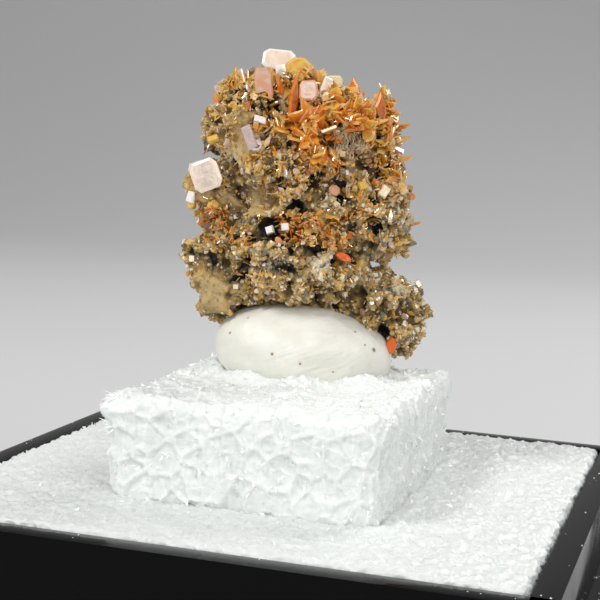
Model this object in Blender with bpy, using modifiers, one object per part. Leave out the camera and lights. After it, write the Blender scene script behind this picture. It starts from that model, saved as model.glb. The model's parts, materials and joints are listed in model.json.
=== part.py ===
"""Wulfenite crystals on a gossan matrix, stuck with putty to a foam riser in a small display base.

Metres, +Z up. The origin is the middle of the base's underside. The base's sides run along X and Y,
and the specimen is turned on its riser, so that its show face looks towards -Y and a little +X.
"""

import math
import random

import bmesh
import bpy
from mathutils import Euler, Matrix, Vector, noise
from mathutils.bvhtree import BVHTree

MM = 0.001

# Display base, a square tray whose collar takes a push-on lid
FLANGE_SIDE = 32.0 * MM
FLANGE_HEIGHT = 4.4 * MM
COLLAR_SIDE = 30.0 * MM
BASE_HEIGHT = 8.0 * MM
WALL = 1.15 * MM
FLOOR = 1.2 * MM
CORNER_RADIUS = 1.1 * MM

# Foam
FOAM_GAP = 0.1 * MM
LINER_PROUD = 0.25 * MM
RISER_SIZE = Vector((12.4, 14.4, 4.6)) * MM
RISER_CENTRE = Vector((0.0, -1.0)) * MM
RISER_FLARE = 0.3 * MM

# The specimen's own upright plane, seen square on from its show side
SHEET_TOP = BASE_HEIGHT + LINER_PROUD
SHOW_TURN = math.radians(17.0)
ACROSS = Vector((math.cos(SHOW_TURN), math.sin(SHOW_TURN), 0.0))
INWARD = Vector((-math.sin(SHOW_TURN), math.cos(SHOW_TURN), 0.0))
UP = Vector((0.0, 0.0, 1.0))
SPECIMEN_AXIS = Vector((-1.88, 1.87, 0.0)) * MM
SHOW_POINT = Vector((20.3, -66.5, 16.9)) * MM + SHEET_TOP * UP

# Putty
PUTTY_CENTRE = (1.5, -0.6, 6.0)
PUTTY_RADII = (4.4, 3.4, 2.15)
PUTTY_TILT = -6
PUTTY_FLAT = RISER_SIZE.z + FOAM_GAP
SEAT_GAP = 0.12 * MM

# Matrix
ROCK_VOXEL = 0.24 * MM
ROCK_TRIANGLES = 4200
CRYSTAL_GAP = 0.06 * MM

COLOURS = {
    "tray_black": ((0.012, 0.012, 0.014), 0.12, 0.0),
    "foam_white": ((0.86, 0.88, 0.87), 0.75, 0.0),
    "putty_white": ((0.86, 0.85, 0.79), 0.5, 0.0),
    "matrix_stone": ((0.42, 0.33, 0.2), 0.8, 0.0),
    "wulfenite_orange": ((0.78, 0.27, 0.04), 0.15, 0.0),
    "wulfenite_peach": ((0.84, 0.55, 0.45), 0.15, 0.0),
    "wulfenite_honey": ((0.82, 0.57, 0.2), 0.15, 0.0),
}

# Lumps that make the matrix: across, inward, up (mm on the specimen's plane), radii (mm), tilt (degrees)
LUMPS = (
    ("core", (1.1, 0.3, 13.4), (4.4, 3.4, 5.3), 0),
    ("crown", (-0.4, 0.1, 17.8), (2.6, 2.3, 2.0), 5),
    ("horn", (-2.55, -0.3, 18.0), (0.8, 1.1, 1.1), 15),
    ("shoulder_left", (-2.25, -0.5, 16.5), (1.8, 2.2, 1.6), -15),
    ("shoulder_right", (2.7, -0.1, 17.1), (2.6, 2.5, 2.0), -22),
    ("shoulder_tip", (4.4, 0.1, 16.5), (1.25, 1.7, 1.6), -10),
    ("ledge_left", (-1.2, -1.9, 15.3), (2.2, 1.4, 1.0), -28),
    ("knob", (-3.75, -1.2, 13.6), (1.0, 1.1, 1.25), 15),
    ("knob_neck", (-2.6, -0.4, 12.6), (1.5, 1.3, 1.1), -35),
    ("waist_left", (-2.1, 0.0, 11.4), (2.0, 2.1, 1.4), 0),
    ("lobe_left", (-3.85, 0.2, 10.2), (1.1, 1.4, 1.05), 0),
    ("slab_left", (-2.8, -0.6, 8.7), (1.2, 1.5, 1.75), 18),
    ("belly", (0.7, -0.5, 10.4), (3.8, 3.1, 2.3), 0),
    ("sill", (1.2, -1.0, 9.3), (3.2, 1.8, 1.1), 0),
    ("flank_right", (4.6, 0.1, 13.3), (1.95, 2.5, 2.6), 0),
    ("bulge_right", (5.0, 0.0, 11.7), (1.7, 1.9, 1.2), 0),
    ("lobe_right", (5.6, 0.6, 7.95), (2.35, 2.2, 1.9), -24),
    ("foot_right", (5.8, 0.5, 6.9), (1.6, 1.7, 1.25), -40),
    ("root", (1.6, 0.8, 8.0), (3.4, 2.3, 1.6), 0),
    ("back_boss", (1.8, 2.6, 13.0), (2.6, 1.7, 3.0), 15),
    ("back_ledge", (0.4, 2.3, 9.6), (2.9, 1.5, 1.3), -12),
)

# Hollows sunk into it, in the same terms
HOLLOWS = (
    ("cave_left", (-1.5, -3.0, 13.55), (1.75, 1.5, 0.72), -14),
    ("crown_window", (-0.35, -2.2, 18.2), (0.42, 1.6, 0.5), 0),
    ("crown_slot", (-0.75, -2.2, 17.5), (0.3, 1.3, 0.42), 20),
    ("hole_middle", (0.75, -3.3, 12.75), (0.45, 1.3, 0.3), 0),
    ("hole_left", (-0.6, -3.2, 11.95), (0.8, 1.4, 0.34), 12),
    ("hole_right", (3.3, -3.1, 11.3), (0.33, 1.2, 0.35), 0),
    ("slot_right", (2.3, -3.4, 12.9), (0.32, 1.0, 0.45), 15),
    ("gash", (1.7, -3.3, 10.7), (1.2, 1.2, 0.24), -8),
    ("arch", (-0.7, -2.6, 7.75), (0.95, 1.4, 0.5), 8),
    ("notch_right", (7.2, 0.2, 10.15), (0.95, 2.6, 0.32), 25),
    ("step_left", (-4.9, -0.2, 11.6), (0.75, 1.6, 0.5), 0),
    ("pit_low", (4.6, -2.2, 6.9), (0.4, 0.9, 0.4), 0),
    ("pit_back", (0.0, 3.9, 11.4), (0.9, 1.2, 0.7), 20),
    ("pit_back_high", (2.6, 3.8, 15.9), (0.8, 1.0, 0.5), -20),
)

# Crystals that stand clear enough to be pieces of their own. Each plate has: form, across, up, width,
# height, thickness (mm), then turn to the right, lean back and roll (degrees), and how far it stands proud (mm).
# Plates in one entry have grown through each other, so they are one piece.
CRYSTALS = {
    "crown_plate": [("table", -0.4, 20.25, 1.62, 1.05, 0.2, -4, 22, -4, 0.0)],
    "peach_blade": [("table", -1.1, 19.0, 0.86, 1.66, 0.2, 8, 4, 8, 0.35)],
    "crown_chip": [("square", -0.27, 19.72, 0.52, 0.6, 0.16, 12, 18, 10, 0.45)],
    "honey_rosette": [
        ("octagon", 0.6, 19.85, 1.3, 1.1, 0.3, -6, 14, 0, 0.5),
        ("octagon", 0.62, 19.6, 0.95, 0.6, 0.7, 10, 50, 20, 0.55),
    ],
    "amber_pillar": [("spear", 0.42, 18.4, 0.52, 2.3, 0.34, 20, -4, -4, 0.25)],
    "lilac_window": [("table", 1.15, 18.8, 0.9, 1.0, 0.18, -10, 12, 6, 0.45)],
    "lilac_side_plate": [("square", 1.98, 18.95, 0.45, 1.15, 0.2, 24, 8, -24, 0.25)],
    "honey_plate": [("table", 2.42, 19.1, 0.86, 1.0, 0.18, 4, 10, 2, 0.1)],
    "amber_spear": [
        ("spear", 3.4, 18.9, 0.72, 1.35, 0.26, -18, 0, 4, 0.1),
        ("spear", 3.75, 18.6, 0.4, 0.9, 0.2, 40, 6, -40, 0.2),
    ],
    "right_spear": [("spear", 4.75, 18.05, 0.72, 1.7, 0.3, 25, -4, 4, 0.1)],
    "ember_fan": [
        ("octagon", 3.1, 17.6, 0.95, 0.7, 0.22, 15, 30, 20, 0.35),
        ("octagon", 3.75, 17.75, 1.0, 0.75, 0.22, -10, 20, 48, 0.35),
        ("spear", 4.15, 17.3, 0.6, 1.2, 0.24, 30, 10, -62, 0.4),
        ("square", 3.5, 17.15, 0.8, 0.6, 0.24, -30, 40, 15, 0.35),
    ],
    "heart_blades": [
        ("spear", 1.1, 17.3, 0.6, 2.0, 0.26, 30, 0, -44, 0.35),
        ("spear", 1.5, 17.45, 0.55, 2.1, 0.28, 20, 10, -24, 0.4),
        ("spear", 1.35, 17.0, 0.55, 1.7, 0.26, -50, 10, -50, 0.35),
        ("octagon", 1.75, 17.0, 0.6, 1.5, 0.24, 45, 0, -62, 0.3),
    ],
    "glow_plates": [
        ("octagon", 1.65, 15.75, 0.95, 0.8, 0.24, -12, 10, 30, 0.3),
        ("square", 1.2, 16.05, 0.8, 0.75, 0.22, 25, 25, -15, 0.35),
        ("octagon", 2.0, 15.55, 0.5, 0.8, 0.24, 35, 0, -20, 0.4),
    ],
    "lilac_fork": [
        ("square", -1.7, 16.35, 0.5, 1.2, 0.2, -25, 10, 28, 0.35),
        ("octagon", -1.35, 15.95, 0.65, 0.6, 0.2, 15, 20, 40, 0.4),
    ],
    "pink_shelf": [("square", -1.2, 17.25, 0.6, 0.42, 0.16, 20, 42, -18, 0.2)],
    "knob_plate": [("table", -3.8, 14.35, 1.45, 1.5, 0.2, -12, 6, 24, 0.35)],
    "knob_back_plate": [("square", -4.35, 14.8, 0.75, 0.6, 0.14, -40, 45, 30, -0.1)],
    "knob_chip": [("square", -4.5, 13.25, 0.42, 0.6, 0.24, -35, 5, -12, 0.0)],
    "knob_stub": [("octagon", -3.4, 12.85, 0.62, 0.5, 0.3, 25, 30, 30, 0.3)],
    "knob_tail": [("octagon", -4.45, 12.8, 0.5, 0.4, 0.3, -30, 20, 10, -0.15)],
    "cube_left": [("square", -0.46, 11.75, 0.38, 0.38, 0.34, -20, 10, 22, 0.5)],
    "cube_right": [("square", 0.28, 11.95, 0.36, 0.36, 0.34, 10, 5, 8, 0.15)],
    "ember_tab": [("octagon", 3.3, 10.55, 0.85, 0.4, 0.34, 10, 10, -24, 0.4)],
    "pink_tab": [("octagon", 2.68, 13.9, 0.55, 0.5, 0.24, 15, 0, -40, 0.1)],
    "edge_window": [("square", 5.2, 13.95, 0.42, 0.6, 0.24, 20, 10, -35, 0.1)],
    "bright_chip": [("square", 4.1, 14.2, 0.42, 0.42, 0.24, 20, 30, 15, 0.05)],
    "left_rod": [("square", -3.5, 16.15, 0.55, 0.3, 0.4, -8, 30, 24, 0.3)],
    "foot_ember": [("octagon", 5.95, 6.15, 0.5, 0.82, 0.42, 5, 5, -12, 0.3)],
    "horn_plates": [
        ("spear", -2.7, 18.95, 0.6, 1.9, 0.24, -30, 10, -12, 0.2),
        ("octagon", -2.5, 18.55, 0.8, 1.1, 0.22, -55, 15, 20, 0.3),
        ("square", -2.0, 19.1, 1.1, 0.8, 0.15, 0, 75, 8, 0.35),
    ],
    "needle_blade": [("spear", -0.3, 19.0, 0.4, 1.1, 0.18, 58, 0, 34, 0.45)],
}


def clear_scene():
    for old in list(bpy.data.objects):
        bpy.data.objects.remove(old, do_unlink=True)


def new_collection(name):
    made = bpy.data.collections.new(name)
    bpy.context.scene.collection.children.link(made)
    return made


def material(name):
    colour, roughness, metallic = COLOURS[name]
    made = bpy.data.materials.new(name)
    made.use_nodes = True
    shader = made.node_tree.nodes["Principled BSDF"]
    shader.inputs["Base Color"].default_value = (*colour, 1.0)
    shader.inputs["Roughness"].default_value = roughness
    shader.inputs["Metallic"].default_value = metallic
    return made


def add_object(name, mesh, collection, look=None):
    made = bpy.data.objects.new(name, mesh)
    collection.objects.link(made)
    if look is not None:
        mesh.materials.clear()
        mesh.materials.append(look)
    return made


def settled_mesh(obj):
    """The object's mesh with its modifiers in it."""
    bpy.context.view_layer.update()
    return bpy.data.meshes.new_from_object(obj.evaluated_get(bpy.context.evaluated_depsgraph_get()))


def on_specimen(across, inward, up):
    """A place on the specimen, from millimetres on its own upright plane above the foam sheet."""
    return SPECIMEN_AXIS + (across * ACROSS + inward * INWARD) * MM + (SHEET_TOP + up * MM) * UP


def specimen_axes():
    """Columns across, up and towards the viewer, so that a plate made flat faces the show side."""
    return Matrix((ACROSS, UP, -INWARD)).transposed().to_4x4()


def slab(size, centre, bevel):
    """A closed box with its upright edges rounded."""
    bm = bmesh.new()
    bmesh.ops.create_cube(bm, size=1.0)
    bmesh.ops.scale(bm, vec=size, verts=bm.verts)
    upright = [e for e in bm.edges if abs(e.verts[0].co.z - e.verts[1].co.z) > size.z / 2]
    bmesh.ops.bevel(bm, geom=upright, offset=bevel, segments=4, profile=0.5, affect="EDGES")
    bmesh.ops.translate(bm, vec=centre, verts=bm.verts)
    mesh = bpy.data.meshes.new("slab")
    bm.to_mesh(mesh)
    bm.free()
    return mesh


def boolean(obj, operation, other=None, collection=None):
    cut = obj.modifiers.new(operation.title(), "BOOLEAN")
    cut.operation = operation
    cut.solver = "EXACT"
    if collection is None:
        cut.object = other
    else:
        cut.operand_type = "COLLECTION"
        cut.collection = collection
    return cut


def make_display_base(pieces, cutters):
    flange = slab(
        Vector((FLANGE_SIDE, FLANGE_SIDE, FLANGE_HEIGHT)),
        Vector((0, 0, FLANGE_HEIGHT / 2)),
        CORNER_RADIUS,
    )
    base = add_object("display_base", flange, pieces, material("tray_black"))
    collar = slab(
        Vector((COLLAR_SIDE, COLLAR_SIDE, BASE_HEIGHT - FLOOR)),
        Vector((0, 0, (BASE_HEIGHT + FLOOR) / 2)),
        CORNER_RADIUS * 0.7,
    )
    boolean(base, "UNION", add_cutter("collar_block", collar, cutters))
    well_depth = BASE_HEIGHT - FLOOR
    well = slab(
        Vector((COLLAR_SIDE - 2 * WALL, COLLAR_SIDE - 2 * WALL, 2 * well_depth)),
        Vector((0, 0, BASE_HEIGHT)),
        CORNER_RADIUS * 0.4,
    )
    boolean(base, "DIFFERENCE", add_cutter("well_cutter", well, cutters))
    return base


def add_cutter(name, mesh, cutters):
    made = add_object(name, mesh, cutters)
    made.hide_render = True
    made.display_type = "WIRE"
    return made


def cell_walls(point, size):
    """How near a point is to a wall between two foam cells: 1 on the wall, 0 in a cell's middle."""
    near = noise.voronoi(point / size)[0]
    return max(0.0, 1.0 - 2.2 * (near[1] - near[0]))


def foam_block(size, centre, steps, cell, depth, flare):
    """A cut block of bead foam: its open faces are dented by the cells that the knife went through."""
    bm = bmesh.new()
    bmesh.ops.create_cube(bm, size=1.0)
    bmesh.ops.subdivide_edges(bm, edges=bm.edges, cuts=steps, use_grid_fill=True)
    half = size / 2
    for vertex in bm.verts:
        outward = Vector((0.0, 0.0, 0.0))
        for axis in range(3):
            if abs(abs(vertex.co[axis]) - 0.5) < 1e-4:
                outward[axis] = math.copysign(1.0, vertex.co[axis])
        place = Vector(vertex.co[axis] * size[axis] for axis in range(3))
        if outward.z < 0:
            vertex.co = Vector((place.x, place.y, -half.z))
            continue
        dent = (1.0 - cell_walls(place + centre, cell)) * depth
        place -= outward.normalized() * dent
        place.x += flare * place.z / half.z * place.x / half.x
        vertex.co = place
    bmesh.ops.translate(bm, vec=centre, verts=bm.verts)
    bmesh.ops.triangulate(bm, faces=bm.faces)
    mesh = bpy.data.meshes.new("foam")
    bm.to_mesh(mesh)
    bm.free()
    return mesh


def make_foam(pieces):
    look = material("foam_white")
    side = COLLAR_SIDE - 2 * WALL - 2 * FOAM_GAP
    thick = SHEET_TOP - FLOOR - FOAM_GAP
    liner = slab(Vector((side, side, thick)), Vector((0, 0, SHEET_TOP - thick / 2)), CORNER_RADIUS * 0.6)
    add_object("foam_liner", liner, pieces, look)
    centre = Vector((*RISER_CENTRE, SHEET_TOP + FOAM_GAP + RISER_SIZE.z / 2))
    riser = foam_block(RISER_SIZE, centre, 8, 1.15 * MM, 0.45 * MM, RISER_FLARE)
    return add_object("foam_riser", riser, pieces, look)


def ball(name, place, radii, tilt, collection, subdivisions=3):
    """An egg shape on the specimen's axes, tilted in its upright plane."""
    bm = bmesh.new()
    bmesh.ops.create_icosphere(bm, subdivisions=subdivisions, radius=1.0)
    bmesh.ops.scale(bm, vec=Vector((radii[0], radii[2], radii[1])) * MM, verts=bm.verts)
    turn = Matrix.Rotation(math.radians(tilt), 4, "Z")
    bmesh.ops.transform(bm, matrix=specimen_axes() @ turn, verts=bm.verts)
    bmesh.ops.translate(bm, vec=on_specimen(*place), verts=bm.verts)
    mesh = bpy.data.meshes.new(name)
    bm.to_mesh(mesh)
    bm.free()
    made = add_object(name, mesh, collection)
    made.hide_render = True
    made.display_type = "WIRE"
    return made


def joined(name, objects, collection):
    """One mesh object that holds the meshes of several, which are removed."""
    bm = bmesh.new()
    for obj in objects:
        bm.from_mesh(obj.data)
    mesh = bpy.data.meshes.new(name)
    bm.to_mesh(mesh)
    bm.free()
    for obj in objects:
        bpy.data.objects.remove(obj, do_unlink=True)
    return add_object(name, mesh, collection)


def remesh(obj, voxel):
    skin = obj.modifiers.new("Skin", "REMESH")
    skin.mode = "VOXEL"
    skin.voxel_size = voxel
    return skin


def rock_relief(point):
    """How far the weathered surface stands out from the smooth lumps, in metres."""
    place = point / MM
    swell = noise.noise(place * 0.42)
    knobs = 0.5 - noise.voronoi(place * 1.05)[0][0]
    grains = 0.5 - noise.voronoi(place * 2.1 + Vector((3.1, 7.7, 1.3)))[0][0]
    return (0.4 * swell + 0.95 * knobs + 0.35 * grains) * MM


def roughen(mesh):
    bm = bmesh.new()
    bm.from_mesh(mesh)
    bm.normal_update()
    moved = [(v, v.co + v.normal * rock_relief(v.co)) for v in bm.verts]
    for vertex, place in moved:
        vertex.co = place
    bm.to_mesh(mesh)
    bm.free()


def make_rock(pieces, cutters):
    """The matrix before its crystals: lumps run together, hollows sunk in, the surface roughened."""
    lumps = [ball(name, place, radii, tilt, cutters) for name, place, radii, tilt in LUMPS]
    rough = joined("rough_rock", lumps, cutters)
    remesh(rough, ROCK_VOXEL)
    rock = add_object("matrix", settled_mesh(rough), pieces, material("matrix_stone"))
    bpy.data.objects.remove(rough, do_unlink=True)
    roughen(rock.data)
    hollows = [ball(name, place, radii, tilt, cutters, 2) for name, place, radii, tilt in HOLLOWS]
    boolean(rock, "DIFFERENCE", joined("hollow_cutter", hollows, cutters)).use_self = True
    remesh(rock, ROCK_VOXEL)
    rock.data = settled_mesh(rock)
    rock.modifiers.clear()
    thin = rock.modifiers.new("Facets", "DECIMATE")
    thin.ratio = ROCK_TRIANGLES / (2 * len(rock.data.polygons))
    rock.data = settled_mesh(rock)
    rock.modifiers.clear()
    return rock


# Crystals that look paler than the orange of the rest
PEACH = ("crown_plate", "peach_blade", "crown_chip", "lilac_window", "lilac_side_plate", "lilac_fork", "pink_shelf",
         "knob_plate", "knob_back_plate", "knob_chip", "cube_left", "cube_right", "pink_tab", "edge_window")
HONEY = ("honey_rosette", "honey_plate", "bright_chip", "left_rod", "horn_plates")

# Places of the small crystals that crust the stone: middle across and up, half extents (mm), how many, tallest (mm)
DRUSE = (
    (0.2, 18.7, 2.0, 0.9, 12, 1.1),
    (3.6, 17.4, 1.6, 1.0, 12, 1.2),
    (5.1, 15.4, 0.8, 1.4, 8, 1.0),
    (-2.6, 17.6, 0.9, 1.3, 7, 0.9),
    (1.6, 16.0, 1.6, 1.2, 9, 1.0),
    (1.2, 11.9, 1.8, 0.7, 7, 0.8),
    (-3.6, 13.3, 0.8, 0.9, 3, 0.7),
    (5.5, 12.4, 0.8, 1.2, 4, 0.8),
    (5.6, 8.2, 1.2, 1.0, 3, 0.6),
)
DRUSE_SEED = 19
CRUST_CLEARANCE = 0.75 * MM

# Outlines of the crystals' broad faces in a unit square, with the width of their bevelled rims
FORMS = {
    "square": (((-0.5, -0.5), (0.5, -0.5), (0.5, 0.5), (-0.5, 0.5)), 0.08),
    "table": (
        ((-0.34, -0.5), (0.34, -0.5), (0.5, -0.3), (0.5, 0.3), (0.34, 0.5), (-0.34, 0.5), (-0.5, 0.3), (-0.5, -0.3)),
        0.08,
    ),
    "octagon": (
        ((-0.2, -0.5), (0.2, -0.5), (0.5, -0.2), (0.5, 0.2), (0.2, 0.5), (-0.2, 0.5), (-0.5, 0.2), (-0.5, -0.2)),
        0.1,
    ),
    "spear": (((-0.22, -0.5), (0.22, -0.5), (0.46, -0.12), (0.36, 0.16), (0.0, 0.5), (-0.42, 0.08)), 0.14),
    "prism": (((-0.5, -0.5), (0.5, -0.5), (0.5, 0.3), (0.1, 0.5), (-0.5, 0.25)), 0.0),
}
BELT = 0.45


def plate_mesh(form, width, height, thickness):
    """A tabular crystal: its outline drawn out to a belt, with rims that slope in to two broad faces."""
    outline, rim = FORMS[form]
    wide, tall, thick = (size * MM for size in (width, height, thickness))
    levels = [(-0.5, 1 - 2 * rim), (-0.5 * BELT, 1.0), (0.5 * BELT, 1.0), (0.5, 1 - 2 * rim)]
    if rim == 0.0:
        levels = [(-0.5, 1.0), (0.5, 1.0)]
    bm = bmesh.new()
    rings = []
    for level, scale in levels:
        rings.append([bm.verts.new((x * wide * scale, y * tall * scale, level * thick)) for x, y in outline])
    bm.faces.new(rings[0][::-1])
    bm.faces.new(rings[-1])
    count = len(outline)
    for low, high in zip(rings, rings[1:]):
        for n in range(count):
            bm.faces.new((low[n], low[(n + 1) % count], high[(n + 1) % count], high[n]))
    mesh = bpy.data.meshes.new(form)
    bm.to_mesh(mesh)
    bm.free()
    return mesh


def sighted(tree, across, up):
    """How far inward the stone lies (mm) at this point of the show face, along the line of sight."""
    target = on_specimen(across, 0.0, up)
    along = (target - SHOW_POINT).normalized()
    hit = tree.ray_cast(SHOW_POINT, along)[0]
    if hit is None:
        hit = tree.find_nearest(target)[0]
    return (hit - SPECIMEN_AXIS).dot(INWARD) / MM


def on_sight_line(across, up, inward):
    """The point at this depth (mm) that shows at this place of the show face."""
    target = on_specimen(across, 0.0, up)
    along = target - SHOW_POINT
    return target + along * (inward * MM / along.dot(INWARD))


def plate_object(name, place, plate, collection):
    form, width, height, thickness, turn, lean, roll = plate
    mesh = plate_mesh(form, width, height, thickness)
    angles = Euler((math.radians(-lean), math.radians(turn), math.radians(roll)))
    spin = Matrix.Rotation(angles.z, 4, "Z")
    lean_back = Matrix.Rotation(angles.x, 4, "X")
    swing = Matrix.Rotation(angles.y, 4, "Y")
    mesh.transform(specimen_axes() @ swing @ lean_back @ spin)
    mesh.transform(Matrix.Translation(place))
    return add_object(name, mesh, collection)


def crystal_places(tree):
    """Each crystal's plates with their middles, all of one intergrowth at the depth of its first plate."""
    found = {}
    for name, plates in CRYSTALS.items():
        depth = sighted(tree, plates[0][1], plates[0][2])
        found[name] = [
            (on_sight_line(across, up, depth - proud), (form, *sizes))
            for form, across, up, *sizes, proud in plates
        ]
    return found


def make_crystals(places, rock, pieces, cutters):
    """Each named crystal or intergrowth, with the stone's print in its foot, so that it sits on the stone."""
    looks = {shade: material(f"wulfenite_{shade}") for shade in ("orange", "peach", "honey")}
    for name, plates in places.items():
        look = looks["peach" if name in PEACH else "honey" if name in HONEY else "orange"]
        parts = [plate_object(f"{name}_part", place, plate, cutters) for place, plate in plates]
        crystal = add_object(name, parts[0].data.copy(), pieces, look)
        for part in parts[1:]:
            boolean(crystal, "UNION", part)
        boolean(crystal, "DIFFERENCE", rock)
        crystal.data = settled_mesh(crystal)
        crystal.modifiers.clear()
        keep_largest(crystal.data)
        crystal.data.transform(Matrix.Translation(-INWARD * CRYSTAL_GAP))
        for part in parts:
            bpy.data.objects.remove(part, do_unlink=True)


def swollen(rock, gap, name, cutters):
    """A copy of the stone, thicker by a gap, for cutting what touches it."""
    made = add_cutter(name, rock.data.copy(), cutters)
    swell = made.modifiers.new("Gap", "DISPLACE")
    swell.strength = gap
    swell.mid_level = 0.0
    return made


def keep_largest(mesh):
    """Removes every loose body but the one with the most faces."""
    bm = bmesh.new()
    bm.from_mesh(mesh)
    waiting = set(bm.faces)
    bodies = []
    while waiting:
        body = set()
        edge_of_body = [waiting.pop()]
        while edge_of_body:
            face = edge_of_body.pop()
            body.add(face)
            near = {other for edge in face.edges for other in edge.link_faces} & waiting
            waiting -= near
            edge_of_body.extend(near)
        bodies.append(body)
    bodies.sort(key=len)
    for body in bodies[:-1]:
        bmesh.ops.delete(bm, geom=list(body), context="FACES")
    loose = [vertex for vertex in bm.verts if not vertex.link_faces]
    bmesh.ops.delete(bm, geom=loose, context="VERTS")
    bm.to_mesh(mesh)
    bm.free()


def crust(rock, tree, places, cutters):
    """Small crystals grown fast to the stone, thickest where the orange patches are, clear of the named ones."""
    taken = [place for plates in places.values() for place, _ in plates]
    dice = random.Random(DRUSE_SEED)
    parts = []
    for across, up, half_across, half_up, count, tallest in DRUSE:
        for _ in range(count):
            a = across + half_across * dice.uniform(-1, 1)
            z = up + half_up * dice.uniform(-1, 1)
            height = tallest * dice.uniform(0.6, 1.0)
            sizes = (height * dice.uniform(0.5, 0.9), height, height * 0.35)
            angles = (dice.uniform(-60, 60), dice.uniform(-25, 45), dice.uniform(-60, 60))
            place = on_sight_line(a, z, sighted(tree, a, z) - 0.1)
            if min((place - other).length for other in taken) < CRUST_CLEARANCE:
                continue
            parts.append(plate_object("druse", place, ("prism", *sizes, *angles), cutters))
    boolean(rock, "UNION", joined("druse_crystals", parts, cutters)).use_self = True
    rock.data = settled_mesh(rock)
    rock.modifiers.clear()
    keep_largest(rock.data)


def make_putty(rock, pieces, cutters):
    """A pressed bean of putty, flat on the riser, with the stone's own print in its top."""
    blob = ball("putty_egg", PUTTY_CENTRE, PUTTY_RADII, PUTTY_TILT, cutters)
    for vertex in blob.data.vertices:
        swell = noise.noise(vertex.co / (3.2 * MM))
        vertex.co += (vertex.co - on_specimen(*PUTTY_CENTRE)).normalized() * swell * 0.35 * MM
    putty = add_object("mineral_tack", blob.data.copy(), pieces, material("putty_white"))
    below = slab(
        Vector((20 * MM, 20 * MM, 10 * MM)),
        on_specimen(PUTTY_CENTRE[0], PUTTY_CENTRE[1], PUTTY_FLAT / MM) - 5 * MM * UP,
        CORNER_RADIUS,
    )
    boolean(putty, "DIFFERENCE", add_cutter("riser_top_cutter", below, cutters))
    stone_print = swollen(rock, SEAT_GAP, "stone_print", cutters)
    boolean(putty, "DIFFERENCE", stone_print).use_self = True
    return putty


def main():
    clear_scene()
    pieces = new_collection("wulfenite_on_matrix")
    cutters = new_collection("cutters")
    cutters.hide_render = True
    make_display_base(pieces, cutters)
    make_foam(pieces)
    rock = make_rock(pieces, cutters)
    tree = BVHTree.FromObject(rock, bpy.context.evaluated_depsgraph_get())
    make_putty(rock, pieces, cutters)
    places = crystal_places(tree)
    crust(rock, tree, places, cutters)
    make_crystals(places, rock, pieces, cutters)


main()
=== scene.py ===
"""Dresses a wulfenite specimen and its display base: stone, crystals, putty, foam and plastic."""

import json
import math
from functools import reduce

import bmesh
import bpy
import numpy as np
from mathutils import Matrix, Vector, noise
from mathutils.bvhtree import BVHTree
from mathutils.kdtree import KDTree

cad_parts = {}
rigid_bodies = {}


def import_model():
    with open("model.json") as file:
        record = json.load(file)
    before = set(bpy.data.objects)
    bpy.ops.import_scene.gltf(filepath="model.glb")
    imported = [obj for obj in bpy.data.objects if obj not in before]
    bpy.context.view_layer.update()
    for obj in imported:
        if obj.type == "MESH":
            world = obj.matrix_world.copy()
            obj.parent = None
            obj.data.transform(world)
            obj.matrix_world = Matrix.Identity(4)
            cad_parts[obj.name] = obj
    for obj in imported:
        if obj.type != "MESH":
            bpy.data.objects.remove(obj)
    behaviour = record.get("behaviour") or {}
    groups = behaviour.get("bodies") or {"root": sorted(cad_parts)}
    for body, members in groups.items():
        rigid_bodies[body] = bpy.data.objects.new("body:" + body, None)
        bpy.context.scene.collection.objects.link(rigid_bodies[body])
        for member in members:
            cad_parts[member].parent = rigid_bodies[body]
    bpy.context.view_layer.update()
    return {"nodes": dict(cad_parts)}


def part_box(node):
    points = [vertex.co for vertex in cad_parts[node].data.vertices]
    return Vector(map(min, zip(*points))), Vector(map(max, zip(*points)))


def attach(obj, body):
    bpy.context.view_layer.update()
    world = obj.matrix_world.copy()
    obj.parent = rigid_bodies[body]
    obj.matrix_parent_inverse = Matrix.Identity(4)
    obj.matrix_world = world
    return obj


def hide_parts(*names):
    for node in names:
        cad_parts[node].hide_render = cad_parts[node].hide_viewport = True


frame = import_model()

bl_info = {
    "name": "Wulfenite Specimen",
    "version": (1, 0, 0),
    "blender": (4, 5, 0),
    "location": "View3D > Sidebar > Specimen",
    "description": "Finishes a wulfenite specimen, its putty, its foam and its display base",
    "category": "Add Mesh",
}

MM = 0.001

# Boxes of the solids that the finish is built on
BASE_LOW, BASE_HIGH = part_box("display_base")
LINER_LOW, LINER_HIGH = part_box("foam_liner")
RISER_LOW, RISER_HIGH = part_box("foam_riser")
PUTTY_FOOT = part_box("mineral_tack")[0].z
SHEET_TOP = LINER_HIGH.z

# Base, as far as its box doesn't say
FLANGE_HEIGHT = 4.4 * MM
COLLAR_INSET = 1.0 * MM
WALL = 1.15 * MM
FLOOR = 1.2 * MM
CORNER_RADIUS = 1.1 * MM

# Dust lies on the base's rim, from this far from its middle, and most random places miss it
DUST_FROM = 13.9 * MM
DUST_TRIES = 12

# Studio floor, with a swept-up back (m)
STAGE_WIDTH, STAGE_DEPTH, STAGE_HEIGHT, SWEEP_RADIUS = 1.6, 0.9, 0.7, 0.25

# Studio lights: place and side (m), all turned to one point
LIGHTS = {
    "key": ((-0.14, -0.16, 0.24), 0.08),
    "fill": ((0.21, -0.16, 0.17), 0.13),
    "front": ((-0.02, -0.3, 0.11), 0.1),
    "rim": ((0.08, 0.16, 0.2), 0.12),
}
LIGHT_TARGET = Vector((0.0, 0.0, 0.018))

# The specimen's own upright plane, seen square on from its show side
SHOW_TURN = math.radians(17.0)
ACROSS = Vector((math.cos(SHOW_TURN), math.sin(SHOW_TURN), 0.0))
INWARD = Vector((-math.sin(SHOW_TURN), math.cos(SHOW_TURN), 0.0))
UP = Vector((0.0, 0.0, 1.0))
SPECIMEN_AXIS = Vector((-1.88, 1.87, 0.0)) * MM

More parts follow.
